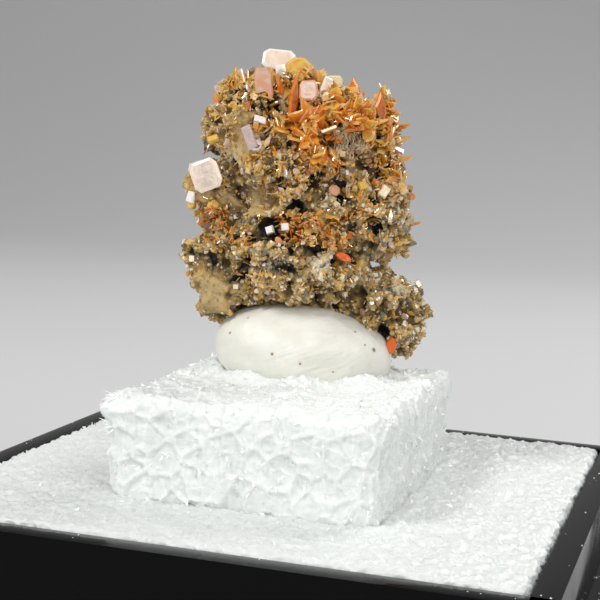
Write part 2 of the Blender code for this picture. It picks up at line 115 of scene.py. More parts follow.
# Camera
CAMERA_PLACE = Vector((20.28, -66.5, 25.14)) * MM
CAMERA_TURN = math.radians(16.99)
CAMERA_DIP = math.radians(6.845)
CAMERA_ROLL = math.radians(2.67)
CAMERA_LENS = 85.5

# Foam sheet: how thick its visible part is, how far its top lies under the solid's, and its rounding
SHEET_THICKNESS = 1.4 * MM
SHEET_DROP = 0.05 * MM
SHEET_ROUNDING = 0.35 * MM

# Depth of its cells (mm), how much coarser its mesh is, and how much darker it is than the riser
SHEET_CELL_DEPTH = 0.2
SHEET_COARSER = 1.3
SHEET_SHADE = 0.9

# Foam riser: its rounding, how far it goes on below the sheet's top, and how squat its cells are
RISER_ROUNDING = 0.85 * MM
RISER_SUNK = 0.85 * MM
RISER_SQUAT = 0.8

# Film between the cells: its width as a share of a cell, and the size of its tears and creases (mm)
FILM_WIDTH = 0.15
FILM_LINE = 0.07
TEAR_SIZE = 0.2
CREASE_SIZE = 0.26
CREASE_SLOPE = 0.22

# The foam's swelling round the putty's foot: reach as a share of the putty, rise and waves (mm)
SWELLING_REACH = 0.28
SWELLING_DEPTH = 0.8
SWELLING_RISE, SWELLING_WAVE = 0.35, 0.15

# Torn flakes of film: share of them all and greatest length (mm)
SHEET_FLAKES = (0.4, 0.24)
RISER_FLAKES = (0.6, 0.38)

# Torn corners of the riser: corner, how far below its top, reach, pull (mm)
TORN_CORNERS = (
    ((RISER_LOW.x, RISER_LOW.y), 1.0, 1.2, (-0.6, -0.2, 0.15)),
    ((RISER_HIGH.x, RISER_HIGH.y), 0.0, 1.8, (0.55, 0.1, 0.35)),
)
TUFT_SHREDS = 90

# Putty, as the solid has it: across, inward, up (mm), radii (mm), tilt
PUTTY_CENTRE = (1.5, -0.6, 6.0)
PUTTY_RADII = (4.4, 3.4, 2.15)
PUTTY_TILT = math.radians(-6)
PUTTY_SINK = 0.25 * MM
PUTTY_SQUARENESS = 3.6
STREAK_TURN = math.radians(-22)
STREAK_SIZE = (3.6 * MM, 1.1 * MM, 0.3 * MM)

# Specks caught in the putty's face: across, up, reach (mm)
PUTTY_SPECKS = (
    (-0.08, 5.42, 0.11),
    (1.37, 4.98, 0.09),
    (-2.27, 6.41, 0.1),
    (4.09, 6.76, 0.09),
    (5.1, 5.88, 0.16),
    (-1.39, 7.22, 0.08),
    (4.63, 6.11, 0.08),
    (3.07, 4.64, 0.07),
)

# Relief of the stone: size of each kind of form and how far it stands out or goes in (mm)
LUMP_SIZE, LUMP_RISE, CREASE_DEPTH = 0.95, 0.34, 0.1
NODULE_SIZE, NODULE_RISE = 0.4, 0.22
GRAIN_SIZE, GRAIN_RISE = 0.3, 0.12
PIT_SIZE, PIT_DEPTH = 0.75, 0.38
PRICK_SIZE, PRICK_DEPTH = 0.24, 0.18

# Uneven edge of a patch, as a share of its reach, and the size of its waves
PATCH_WOBBLE = 0.45
PATCH_WAVE = 0.9 * MM

# Crust of loose grains: piece, share of them all and greatest size (mm), and the least size (mm)
CRUMB_KINDS = (("angular_crumbs", 0.6, 0.5), ("blocky_crumbs", 0.4, 0.44))
LEAST_CRUMB = 0.07

# Smooth tan patches of the stone: across, inward, up, reach (mm)
SMOOTH_PATCHES = (
    (-2.2, -2.9, 16.6, 1.7),
    (-3.6, -2.4, 13.7, 1.2),
    (-3.3, -1.6, 8.5, 1.6),
    (-2.6, -2.0, 12.9, 1.1),
    (-1.1, -2.2, 13.4, 1.1),
)

# Where the stone is thin, so its relief stays low: across, inward, up, reach (mm)
THIN_PATCHES = (
    (4.9, -1.4, 10.3, 1.2),
    (4.9, 0.2, 10.3, 1.4),
    (4.9, 1.8, 10.3, 1.2),
    (5.3, 0.0, 10.7, 1.0),
)

# Holes in the show face, sunk in and darkened by painted shade: middle across and up, half width and height,
# depth (mm)
HOLES = (
    (-0.32, 18.64, 0.3, 0.36, 0.7),
    (-0.60, 17.83, 0.28, 0.4, 0.6),
    (-1.59, 18.03, 0.26, 0.26, 0.5),
    (0.88, 12.85, 0.3, 0.32, 0.6),
    (0.01, 11.92, 0.7, 0.5, 0.8),
    (3.27, 13.41, 0.24, 0.4, 0.5),
    (3.59, 11.61, 0.22, 0.26, 0.5),
    (1.90, 10.92, 0.56, 0.27, 0.6),
    (-1.9, 9.9, 0.35, 0.2, 0.4),
    (5.55, 6.64, 0.24, 0.26, 0.5),
)

# Patches with grains stained orange by the crystals, and painted shade on the stone between the blades:
# across, inward, up, reach (mm)
STAINED_AND_SHADED_PATCHES = (
    (0.9, -2.6, 17.6, 2.6),
    (3.5, -2.4, 17.2, 2.2),
    (1.9, -3.0, 15.4, 1.6),
    (1.6, -3.2, 11.8, 1.9),
    (5.0, -1.8, 15.2, 1.3),
    (-3.6, -1.8, 12.8, 0.9),
)

# Patches crusted yellow: across, inward, up, reach (mm)
YELLOW_PATCHES = (
    (-2.5, -1.6, 18.6, 1.8),
    (-3.3, -1.8, 17.2, 1.1),
    (0.4, -1.4, 19.8, 1.4),
    (3.6, -1.4, 18.8, 1.1),
    (5.6, -1.2, 14.6, 1.0),
    (-3.7, -1.6, 12.6, 0.8),
)

# Patches crusted pale grey: across, inward, up, reach (mm)
PALE_PATCHES = (
    (3.3, -2.9, 16.4, 1.3),
    (-2.6, -2.6, 15.2, 0.9),
    (5.9, -1.6, 12.9, 1.1),
    (2.2, -3.2, 10.6, 1.0),
    (6.3, -1.2, 8.9, 1.0),
)

# Bluish dark lumps of the stone: across, inward, up, reach (mm)
DARK_PATCHES = (
    (5.0, -2.2, 10.9, 1.1),
    (-0.2, -3.0, 10.2, 0.8),
    (1.2, -2.4, 12.6, 1.0),
)

# Where the small blades crowd on the show side: middle across and up, half extents (mm), how many,
# length (mm), and the range of tint, from 0 for deep ember through 0.5 for orange to 1 for pale honey
DRUSE_PATCHES = (
    (0.9, 19.0, 1.9, 0.8, 110, 0.75, (0.3, 0.85)),
    (1.3, 17.6, 1.5, 1.0, 100, 0.95, (0.15, 0.65)),
    (3.4, 18.5, 1.4, 0.5, 80, 0.8, (0.25, 0.75)),
    (3.9, 17.7, 1.3, 0.6, 90, 0.8, (0.1, 0.65)),
    (5.0, 16.9, 0.8, 0.9, 90, 0.7, (0.15, 0.7)),
    (5.5, 15.3, 0.7, 1.3, 80, 0.6, (0.15, 0.75)),
    (1.8, 15.8, 1.0, 0.9, 90, 0.7, (0.15, 0.6)),
    (-2.4, 18.5, 0.9, 0.9, 110, 0.6, (0.55, 0.9)),
    (-3.1, 16.9, 0.6, 1.1, 50, 0.45, (0.5, 1.0)),
    (-0.6, 17.1, 1.0, 0.5, 60, 0.5, (0.3, 0.9)),
    (0.3, 15.2, 2.0, 0.7, 110, 0.45, (0.3, 1.0)),
    (0.2, 13.9, 1.4, 0.5, 40, 0.4, (0.4, 1.0)),
    (1.6, 11.9, 1.7, 0.8, 170, 0.42, (0.1, 0.8)),
    (-3.7, 13.2, 0.9, 1.3, 50, 0.5, (0.35, 0.85)),
    (4.3, 13.6, 1.4, 1.3, 140, 0.45, (0.2, 0.95)),
    (5.8, 12.4, 0.7, 1.5, 60, 0.38, (0.4, 1.0)),
    (0.8, 9.6, 3.0, 0.9, 90, 0.33, (0.4, 0.9)),
    (-2.6, 11.3, 1.3, 0.6, 70, 0.42, (0.2, 0.8)),
    (-3.2, 12.2, 0.5, 0.6, 30, 0.36, (0.1, 0.5)),
    (5.7, 8.3, 1.5, 1.3, 60, 0.33, (0.4, 0.9)),
    (1.5, 17.0, 4.5, 3.0, 300, 0.3, (0.3, 1.0)),
    (1.0, 12.0, 4.5, 3.0, 260, 0.28, (0.3, 1.0)),
)
BACK_DRUSE = 420

# Forms of the small blades: name, sides, turn, and width as a share of the length
DRUSE_FORMS = (
    ("eight_sided", 8, math.pi / 8, 0.75),
    ("four_sided", 4, math.pi / 4, 0.6),
    ("blade", 6, 0.0, 0.3),
    ("sliver", 4, 0.0, 0.34),
)

# How much of a small blade's length is in the stone, and how far the blades keep off the bare crystals
DRUSE_SUNK = 0.22
DRUSE_CLEARANCE = 0.3 * MM

# The grey crust between the orange clusters: middle across and up, half extents (mm)
GREY_CRUST = (3.3, 16.4, 0.85, 0.6)
GREY_NEEDLES = 420

NOT_CRYSTALS = ("display_base", "foam_liner", "foam_riser", "mineral_tack", "matrix")

# Large crystals by finish; the others are orange
CRYSTAL_KINDS = {
    "peach": ("crown_plate", "crown_chip", "lilac_side_plate", "pink_shelf", "knob_back_plate", "knob_chip",
              "cube_left", "cube_right"),
    # The knob plate gets a darker copy of the peach, painted shade against the key light that it faces
    "frosted": ("knob_plate",),
    "lilac": ("lilac_fork",),
    "salmon": ("peach_blade", "lilac_window", "pink_tab"),
    "honey": ("honey_rosette", "bright_chip", "left_rod", "horn_plates", "knob_stub", "knob_tail"),
    "cream": ("honey_plate", "edge_window"),
    "ember": ("foot_ember", "ember_tab"),
}

# Large crystals that small ones grow on
OVERGROWN = ("ember_fan", "glow_plates", "heart_blades", "honey_rosette", "horn_plates", "knob_stub",
             "knob_tail")

# Area of the smallest crystal face that gets a rim (mm2)
RIMMED_FACE = 0.22

# Rim of a small blade, as a share of its width before it is stretched
TABLET_RIM = 0.12

# Seeds of the random draws
DUST_SEED, CELL_SEED, FLAKE_SEED, TUFT_SEED, CRUMB_SEED, DRUSE_SEED = 5, 7, 11, 13, 23, 31


def on_specimen(across, inward, up):
    """A place on the specimen, from millimetres on its own upright plane above the foam sheet."""
    return SPECIMEN_AXIS + (across * ACROSS + inward * INWARD) * MM + (SHEET_TOP + up * MM) * UP


# Shader kit


class Value:
    """A socket that gives a number: arithmetic on it adds Math nodes."""

    def __init__(self, look, socket):
        self.look = look
        self.socket = socket

    def math(self, operation, first, second, clamp=False):
        settings = {"operation": operation, "use_clamp": clamp}
        return self.look.node("ShaderNodeMath", settings, {0: first, 1: second})

    def __add__(self, other):
        return self.math("ADD", self, other)

    def __sub__(self, other):
        return self.math("SUBTRACT", self, other)

    def __rsub__(self, other):
        return self.math("SUBTRACT", other, self)

    def __mul__(self, other):
        return self.math("MULTIPLY", self, other)

    __radd__ = __add__
    __rmul__ = __mul__

    def most(self, other):
        return self.math("MAXIMUM", self, other)

    def clamped(self):
        return self.math("ADD", self, 0.0, clamp=True)

    def between(self, low, high, to_low=0.0, to_high=1.0):
        """Mapped from one range to another, eased at both ends and held there."""
        settings = {"interpolation_type": "SMOOTHSTEP"}
        inputs = {"Value": self, "From Min": low, "From Max": high, "To Min": to_low, "To Max": to_high}
        return self.look.node("ShaderNodeMapRange", settings, inputs)


class Look:
    """A material around one Principled shader, with the few calls that its patterns need."""

    def __init__(self, name, **constants):
        self.material = bpy.data.materials.new(name)
        self.material.use_nodes = True
        self.tree = self.material.node_tree
        self.shader = self.tree.nodes["Principled BSDF"]
        for key, value in constants.items():
            self.shader.inputs[key.replace("_", " ")].default_value = value

    def node(self, kind, settings=None, inputs=None, output=0):
        made = self.tree.nodes.new(kind)
        for key, value in (settings or {}).items():
            if key == "stops":
                self.set_stops(made.color_ramp, value)
            else:
                setattr(made, key, value)
        for key, value in (inputs or {}).items():
            if isinstance(value, Value):
                self.tree.links.new(value.socket, made.inputs[key])
            else:
                made.inputs[key].default_value = value
        return Value(self, made.outputs[output])

    @staticmethod
    def set_stops(ramp, stops):
        while len(ramp.elements) < len(stops):
            ramp.elements.new(1.0)
        for element, (place, colour) in zip(ramp.elements, stops):
            element.position = place
            element.color = (*colour, 1.0)

    def place(self):
        return self.node("ShaderNodeTexCoord", output="Object")

    def vector(self, operation, inputs, output=0):
        return self.node("ShaderNodeVectorMath", {"operation": operation}, inputs, output)

    def noise(self, size, detail=4.0, rough=0.55, offset=0.0):
        """Soft mottling whose blotches are about this many metres across."""
        shifted = self.vector("ADD", {0: self.place(), 1: (offset,) * 3})
        inputs = {"Vector": shifted, "Scale": 1.0 / size, "Detail": detail, "Roughness": rough}
        return self.node("ShaderNodeTexNoise", None, inputs)

    def network(self, size):
        """Thin uneven lines between cells of this size: 1 on a line, 0 beside it."""
        inputs = {"Vector": self.place(), "Scale": 1.6 / size}
        swirl = self.node("ShaderNodeTexNoise", None, inputs, "Color")
        swirled = self.vector("MULTIPLY_ADD", {0: swirl, 1: (0.6 * size,) * 3, 2: self.place()})
        inputs = {"Vector": swirled, "Scale": 1.0 / size}
        distance = self.node("ShaderNodeTexVoronoi", {"feature": "DISTANCE_TO_EDGE"}, inputs, "Distance")
        return distance.between(0.0, FILM_LINE, 1.0, 0.0)

    def near(self, point, reach, core=0.4):
        """1 around a point in space, easing to 0 at its reach."""
        away = self.vector("DISTANCE", {0: self.place(), 1: point}, "Value")
        return away.between(reach * core, reach, 1.0, 0.0)

    def near_any(self, patches):
        return reduce(Value.most, (self.near(on_specimen(*place), reach * MM) for *place, reach in patches))

    def ramp(self, factor, stops):
        return self.node("ShaderNodeValToRGB", {"stops": stops}, {"Fac": factor})

    def mix(self, factor, first, second):
        settings = {"data_type": "RGBA", "clamp_factor": True}
        first, second = (side if isinstance(side, Value) else (*side, 1.0) for side in (first, second))
        return self.node("ShaderNodeMix", settings, {0: factor, 6: first, 7: second}, 2)

    def attribute(self, name):
        return self.node("ShaderNodeAttribute", {"attribute_name": name}, output="Fac")

    def feed(self, name, value):
        self.tree.links.new(value.socket, self.shader.inputs[name])

    def bump(self, height, depth, strength):
        inputs = {"Height": height, "Distance": depth, "Strength": strength}
        self.feed("Normal", self.node("ShaderNodeBump", None, inputs))


# Modelling kit


def deselect():
    if bpy.context.mode != "OBJECT":
        bpy.ops.object.mode_set(mode="OBJECT")
    bpy.ops.object.select_all(action="DESELECT")


def make_active(obj):
    deselect()
    obj.select_set(True)
    bpy.context.view_layer.objects.active = obj


def link(name, data):
    made = bpy.data.objects.new(name, data)
    bpy.context.scene.collection.objects.link(made)
    return made


def primitive(kind, name, **options):
    """A mesh primitive, added by its operator and named."""
    deselect()
    getattr(bpy.ops.mesh, f"primitive_{kind}_add")(**options)
    made = bpy.context.active_object
    made.name = name
    return made


def settle():
    """Puts the active object's place, turn and scale into its mesh."""
    bpy.ops.object.transform_apply(location=True, rotation=True, scale=True)


def edit(obj, mode="FACE"):
    make_active(obj)
    bpy.ops.object.mode_set(mode="EDIT")
    bpy.ops.mesh.select_mode(type=mode)
    bpy.ops.mesh.select_all(action="DESELECT")


def edit_merged(obj):
    """Edit mode on a copy of a solid, with the corners that its loose triangles share made one."""
    edit(obj)
    bpy.ops.mesh.select_all(action="SELECT")
    bpy.ops.mesh.remove_doubles(threshold=0.002 * MM)


def end_edit():
    bpy.ops.object.mode_set(mode="OBJECT")


def pick(obj, test, kind="faces"):
    """Selects, in edit mode, the faces, edges or vertices that pass a test."""
    bm = bmesh.from_edit_mesh(obj.data)
    for item in getattr(bm, kind):
        item.select_set(bool(test(item)))
    bm.select_flush_mode()
    bmesh.update_edit_mesh(obj.data)


def apply_modifier(obj, kind, **settings):
    make_active(obj)
    bpy.ops.object.modifier_add(type=kind)
    modifier = obj.modifiers[-1]
    for key, value in settings.items():
        setattr(modifier, key, value)
    bpy.ops.object.modifier_apply(modifier=modifier.name)


def swell(obj, size, depth):
    """Pushes a surface in and out along its normals by soft swellings of this size."""
    texture = bpy.data.textures.new(f"{obj.name}_clouds", "CLOUDS")
    texture.noise_scale = size
    apply_modifier(obj, "DISPLACE", texture=texture, texture_coords="LOCAL", strength=depth, mid_level=0.5)


def read(items, attribute, width=1, kind=float):
    """One attribute of all of a mesh's items, a row for each where it has several numbers."""
    found = np.empty(len(items) * width, kind)
    items.foreach_get(attribute, found)
    return found.reshape(-1, width) if width > 1 else found


def points_of(obj):
    return read(obj.data.vertices, "co", 3)


def move_points(obj, points):
    obj.data.vertices.foreach_set("co", points.reshape(-1))
    obj.data.update()


def keep_mark(mesh, name, values):
    mesh.attributes.new(name, "FLOAT", "POINT").data.foreach_set("value", values.astype(np.float32))


def eased(value, low, high):
    """0 below the range, 1 above it, and a smooth step between."""
    share = min(max((value - low) / (high - low), 0.0), 1.0)
    return share * share * (3.0 - 2.0 * share)


def cell_distance(place, size):
    """How far, in cells, the nearest seed of an endless scatter of cells lies."""
    return noise.voronoi(place / size)[0][0]


def sculpt(obj, relief_at, mark):
    """Moves each vertex along its normal by a relief in millimetres, and keeps the mark it comes with."""
    normals = read(obj.data.vertex_normals, "vector", 3)
    points = points_of(obj)
    found = np.array([relief_at(Vector(point) / MM, n) for n, point in enumerate(points)])
    move_points(obj, points + normals * found[:, :1] * MM)
    keep_mark(obj.data, mark, found[:, 1])


def far_from(points, patches, softness=0.5):
    """0 in the middle of the patches, rising to 1 outside them, with an uneven edge."""
    weights = np.ones(len(points))
    uneven = np.array([PATCH_WOBBLE * noise.noise(Vector(point) / PATCH_WAVE) for point in points])
    for *place, reach in patches:
        away = np.linalg.norm(points - np.array(on_specimen(*place)), axis=1) / (reach * MM)
        weights = np.minimum(weights, np.clip((away + uneven - softness) / (1 - softness), 0, 1))
    return weights


def finish(piece, look):
    piece.data.materials.clear()
    piece.data.materials.append(look.material)
    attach(piece, "root")


def discard(*objects):
    for obj in objects:
        bpy.data.objects.remove(obj, do_unlink=True)


def surface_sites(obj, count, dice):
    """Random places spread evenly over a surface, with the normals there and a vertex beside each."""
    obj.data.calc_loop_triangles()
    indices = read(obj.data.loop_triangles, "vertices", 3, np.int32)
    corners = points_of(obj)[indices]
    across = np.cross(corners[:, 1] - corners[:, 0], corners[:, 2] - corners[:, 0])
    area = np.linalg.norm(across, axis=1)
    chosen = dice.choice(len(area), count, p=area / area.sum())
    u, v = dice.random((2, count, 1))
    over = u + v > 1
    u, v = np.where(over, 1 - u, u), np.where(over, 1 - v, v)
    a, b, c = corners[chosen].transpose(1, 0, 2)
    return a + u * (b - a) + v * (c - a), across[chosen] / area[chosen, None], indices[chosen, 0]


def points_tree(points):
    """A search tree of points, each numbered by its place among them."""
    tree = KDTree(len(points))
    for n, point in enumerate(points):
        tree.insert(point, n)
    tree.balance()
    return tree


def surface_tree(obj):
    return BVHTree.FromObject(obj, bpy.context.evaluated_depsgraph_get())


def sighted(trees, across, up):
    """Where the camera's line through a place on the specimen first meets a surface, and the normal."""
    target = on_specimen(across, 0.0, up)
    hits = [tree.ray_cast(CAMERA_PLACE, (target - CAMERA_PLACE).normalized()) for tree in trees]
    hits = [hit for hit in hits if hit[0] is not None] or [trees[0].find_nearest(target)]
    return min(hits, key=lambda hit: (hit[0] - CAMERA_PLACE).length)[:2]


def columns(rows):
    """An array for each column of a list of rows."""
    return (np.array(column) for column in zip(*rows))


def unit(vectors):
    return vectors / np.maximum(np.linalg.norm(vectors, axis=-1, keepdims=True), 1e-12)


def standing_axes(normals, dice, lean):
    """A frame for each site: third axis roughly outwards, the others turned at random. Columns are axes."""
    outward = unit(normals + dice.normal(0, lean, normals.shape))
    side = unit(np.cross(outward, dice.normal(0, 1, normals.shape)))
    return np.stack([side, np.cross(outward, side), outward], axis=2)


def strew(name, template, places, axes, sizes, tones):
    """One mesh of many copies of a small form, each with its place, axes, size along them and tone."""
    shape = points_of(template)
    loops = read(template.data.loops, "vertex_index", 1, np.int32)
    starts = read(template.data.polygons, "loop_start", 1, np.int32)
    copies = len(places)
    turns = np.arange(copies)[:, None]
    spots = np.einsum("nij,nkj->nki", axes, shape[None] * sizes[:, None, :]) + places[:, None, :]
    mesh = bpy.data.meshes.new(name)
    mesh.vertices.add(copies * len(shape))
    mesh.vertices.foreach_set("co", spots.reshape(-1))
    mesh.loops.add(copies * len(loops))
    mesh.loops.foreach_set("vertex_index", (loops[None] + len(shape) * turns).reshape(-1))
    mesh.polygons.add(copies * len(starts))
    mesh.polygons.foreach_set("loop_start", (starts[None] + len(loops) * turns).reshape(-1))
    mesh.update(calc_edges=True)
    mesh.validate()
    mesh.shade_flat()
    rise = (shape[:, 2] - shape[:, 2].min()) / np.ptp(shape[:, 2])
    keep_mark(mesh, "tone", np.repeat(tones, len(shape)))
    keep_mark(mesh, "rise", np.tile(rise, copies))
    return link(name, mesh)


def tablet(name, sides, turn):
    """A plate one unit wide and high, half as thick in its middle, inset between sloping rims, on edge."""
    made = primitive("cylinder", name, vertices=sides, radius=0.5 / math.cos(math.pi / sides), depth=0.5,
                     rotation=(0, 0, turn))
    settle()
    edit(made)
    pick(made, lambda face: abs(face.normal.z) > 0.9)
    bpy.ops.mesh.inset(thickness=TABLET_RIM, depth=0.25, use_individual=True)
    end_edit()
    made.data.transform(Matrix.Rotation(math.pi / 2, 4, "X"))
    made.data.transform(Matrix.Translation((0, 0, 0.5)))
    return made


def lump(name):
    """A small angular grain."""
    return primitive("uv_sphere", name, segments=4, ring_count=3, radius=0.58)


# Looks


def styrene_look(tray):
    look = Look("black_styrene", Base_Color=(*tray.plastic, 1.0), Roughness=0.08, Specular_IOR_Level=0.08)
    look.feed("Roughness", look.noise(3.2 * MM, 5.0, 0.6).between(0.35, 0.75, 0.05, 0.15))
    return look


def foam_look(name, foam, cell, shade=1.0):
    look = Look(name, Roughness=0.4, IOR=1.45, Subsurface_Weight=0.3, Subsurface_Scale=0.001)
    look.shader.inputs["Subsurface Radius"].default_value = (0.9, 1.0, 1.05)
    # Painted shade in the cells' hollows and painted highlight on the walls, the creases and the thin film
    # lines, with random mottling
    edge = look.attribute("ridge")
    mottle = look.noise(0.35 * MM, 3.0, 0.6).between(0.3, 0.7)
    film = look.network(cell)
    tone = (edge * 0.45 + mottle * 0.3 + film * 0.6).clamped()
    look.feed("Base Color", look.mix(tone, foam.shaded_hollow_colour * shade, foam.lit_ridge_colour * shade))
    look.feed("Roughness", tone.between(0.2, 0.8, 0.5, 0.2))
    look.bump(look.noise(0.2 * MM, 4.0, 0.65) + film * 0.3, 0.06 * MM, 0.5)
    return look


def putty_look(putty, specks):
    look = Look("putty", Roughness=0.46, IOR=1.46, Subsurface_Weight=0.3, Subsurface_Scale=0.0009)
    look.shader.inputs["Subsurface Radius"].default_value = (1.0, 0.85, 0.7)
    cloudy = look.noise(2.4 * MM, 3.0)
    colour = look.mix(cloudy.between(0.35, 0.7), putty.colour, putty.shade_colour)
    spotted = reduce(Value.most, (look.near(place, size * MM, 0.35) for place, size in specks))
    look.feed("Base Color", look.mix(spotted, colour, putty.speck))
    turned = look.node("ShaderNodeMapping", {"vector_type": "TEXTURE"}, {
        "Vector": look.place(), "Rotation": (0, STREAK_TURN, 0), "Scale": STREAK_SIZE,
    })
    streaks = look.node("ShaderNodeTexNoise", None, {"Vector": turned, "Scale": 1.0, "Detail": 3.0})
    rubbed = look.near(on_specimen(2.6, -3.6, 5.8), 3.4 * MM, 0.3) + 0.25
    grain = look.noise(0.25 * MM, 3.0)
    folds = look.noise(0.9 * MM, 2.0, 0.5, 0.05) * look.near(on_specimen(4.0, -3.2, 4.9), 2.2 * MM, 0.2)
    look.bump(streaks * rubbed + grain * 0.3 + folds * 2.0, 0.12 * MM, 0.9)
    return look


def gossan_colour(look, rock, own=None):
    """Tan, olive, ochre and pale mottling with each grain's own tone, stained and crusted in places; on the
    stone itself the stained patches get a dark painted shade instead.
    """
    broad = look.noise(2.2 * MM, 5.0, 0.6)
    fine = look.noise(0.5 * MM, 6.0, 0.7, 0.013)
    stops = ((0.34, rock.olive), (0.45, rock.tan), (0.56, rock.ochre), (0.68, rock.pale))
    colour = look.ramp(broad * 0.4 + fine * 0.6, stops)
    if own:
        colour = look.mix(0.78, colour, own)
    blotches = look.noise(0.9 * MM, 4.0, 0.6, 0.031).between(0.36, 0.56)
    rust = look.mix(look.noise(0.4 * MM, 4.0, 0.6, 0.09).between(0.42, 0.58), rock.stain, rock.yellow)
    # On the stone itself, with no grain tone, the stained patches get a dark orange that is painted shade
    # between the blades there, and the yellow patches turn dark olive
    for patches, weight, tint in (
        (STAINED_AND_SHADED_PATCHES, 0.72, rust if own else rock.stain * 0.25),
        (YELLOW_PATCHES, 0.75, rock.yellow if own else rock.olive),
        (PALE_PATCHES, 0.75, rock.crust),
    ):
        colour = look.mix(look.near_any(patches) * blotches * weight, colour, tint)
    dark = look.near_any(DARK_PATCHES) * look.noise(0.6 * MM, 3.0, 0.6, 0.047).between(0.35, 0.55)
    colour = look.mix(dark * 0.85, colour, rock.slate)
    return look.mix(look.near_any(SMOOTH_PATCHES) * 0.8, colour, rock.tan * 0.9), fine


def gossan_look(rock):
    look = Look("gossan", Roughness=0.7, IOR=1.5)
    colour, fine = gossan_colour(look, rock)
    speckle = look.noise(0.2 * MM, 3.0, 0.6, 0.071).between(0.33, 0.47)
    # Painted shade: the stone is darkened towards near black in its pits, creases and holes by the mark from
    # its relief, with random speckle
    lit = (1.0 - look.attribute("pit")) * (speckle * 0.4 + 0.6)
    look.feed("Base Color", look.mix(lit.clamped(), rock.pit, colour))
    look.feed("Roughness", look.noise(0.3 * MM, 2.0).between(0.35, 0.65, 0.85, 0.3))
    look.bump(fine + look.noise(0.12 * MM, 4.0, 0.7) * 0.6, 0.1 * MM, 0.8)
    return look


def crumb_look(rock):
    look = Look("gossan_crumbs", Roughness=0.5, IOR=1.8)
    tone = look.attribute("tone")
    # The brightest tone, near white, is a painted glint on the grains
    own = look.ramp(tone, (
        (0.0, rock.pit), (0.12, rock.slate), (0.22, rock.olive), (0.42, rock.tan), (0.56, rock.ochre),
        (0.7, rock.pale), (0.88, rock.painted_glint),
    ))
    colour, fine = gossan_colour(look, rock, own)
    look.feed("Base Color", colour)
    look.feed("Roughness", tone.between(0.3, 1.0, 0.5, 0.08))
    look.bump(fine, 0.03 * MM, 0.3)
    return look


def wulfenite_look(name, colour, deep, rim, transmission, roughness=0.08):
    """Glassy, strongly refracting plates, clouded inside, with a rim colour along their edges that is a
    painted highlight where it is lighter than the body.
    """
    look = Look(name, IOR=2.2, Specular_IOR_Level=0.22, Roughness=roughness, Transmission_Weight=transmission)
    clouds = look.noise(0.5 * MM, 4.0, 0.6)
    body = look.mix(clouds.between(0.38, 0.62), colour, deep)
    look.feed("Base Color", look.mix(look.attribute("middle"), rim, body))
    look.feed("Roughness", look.noise(0.2 * MM, 3.0).between(0.4, 0.7, roughness, roughness + 0.2))
    look.bump(look.noise(0.2 * MM, 4.0), 0.02 * MM, 0.6)
    return look


def druse_look(crystals):
    """Ember at the foot of each small blade, paler towards its tip and by its own tone: painted shade at the
    foot and painted light towards the tip.
    """
    look = Look("wulfenite_druse", IOR=2.2, Specular_IOR_Level=0.5, Roughness=0.03, Transmission_Weight=0.25)
    stops = (
        (0.0, crystals.ember), (0.22, crystals.orange), (0.5, crystals.amber), (0.78, crystals.honey),
        (1.0, crystals.peach),
    )
    # The rise along each blade paints shade at its foot and light at its tip; the tone is its own
    body = look.ramp(look.attribute("tone") + look.attribute("rise") * 0.3 - 0.12, stops)
    clouds = look.noise(0.35 * MM, 3.0).between(0.48, 0.7) * (0.7 - look.attribute("rise") * 0.6)
    look.feed("Base Color", look.mix(clouds.clamped(), body, crystals.ember))
    look.feed("Roughness", look.noise(0.2 * MM, 3.0, 0.5, 0.02).between(0.4, 0.7, 0.03, 0.12))
    return look


# Settings


def a_colour(name, description, default):
    return bpy.props.FloatVectorProperty(
        name=name, description=description, default=default, subtype="COLOR", size=3, min=0.0, max=1.0
    )


def a_length(name, description, default):
    return bpy.props.FloatProperty(
        name=name, description=description, default=default, subtype="DISTANCE", unit="LENGTH"
    )


def a_number(name, description, default):
    return bpy.props.FloatProperty(name=name, description=description, default=default)


def a_count(name, description, default):
    return bpy.props.IntProperty(name=name, description=description, default=default)


class SPECIMEN_PG_stage(bpy.types.PropertyGroup):
    floor: a_colour("Floor", "Colour of the floor and its sweep", (0.6, 0.6, 0.6))
    key: a_number("Key", "Power of the key light in watts", 0.5)
    fill: a_number("Fill", "Power of the fill light in watts", 0.3)
    front: a_number("Front", "Power of the low front light in watts", 0.14)
    rim: a_number("Rim", "Power of the light behind in watts", 0.28)
    air: a_number("Air", "Strength of the light from all round", 0.37)


class SPECIMEN_PG_tray(bpy.types.PropertyGroup):
    plastic: a_colour("Plastic", "Colour of the base", (0.002, 0.002, 0.0024))
    dust_colour: a_colour("Dust colour", "Colour of the dust on the base", (0.75, 0.76, 0.76))
    edge: a_length("Edge", "Rounding of the base's edges", 0.16 * MM)
    dust: a_count("Dust", "Specks of dust on the base", 150)


class SPECIMEN_PG_foam(bpy.types.PropertyGroup):
    # The foam's colour on its cell walls is a painted highlight, and inside the cells a painted shade
    lit_ridge_colour: a_colour("Foam", "Colour of the cell walls' edges", (0.9, 0.915, 0.9))
    shaded_hollow_colour: a_colour("Hollow", "Colour inside the cells", (0.75, 0.785, 0.76))
    # The torn flakes are lighter than the foam, a painted highlight on the torn film
    lit_film_colour: a_colour("Film", "Colour of the torn flakes", (0.98, 0.99, 0.98))
    cell: a_length("Cell", "Width of the riser's cells", 1.05 * MM)
    depth: a_length("Depth", "Depth of the riser's cut cells", 0.2 * MM)
    sheet_cell: a_length("Sheet cell", "Width of the sheet's cells", 0.62 * MM)
    grid: a_length("Grid", "Size of the foam mesh's faces", 0.1 * MM)
    flakes: a_count("Flakes", "Torn flakes of film on the foam", 3600)


class SPECIMEN_PG_putty(bpy.types.PropertyGroup):
    colour: a_colour("Putty", "Main colour of the putty", (0.83, 0.82, 0.75))
    shade_colour: a_colour("Shade", "Colour of its darker clouds", (0.76, 0.75, 0.67))
    speck: a_colour("Speck", "Colour of the specks in it", (0.28, 0.2, 0.12))
    dent: a_length("Dent", "Depth of its finger dents", 0.35 * MM)


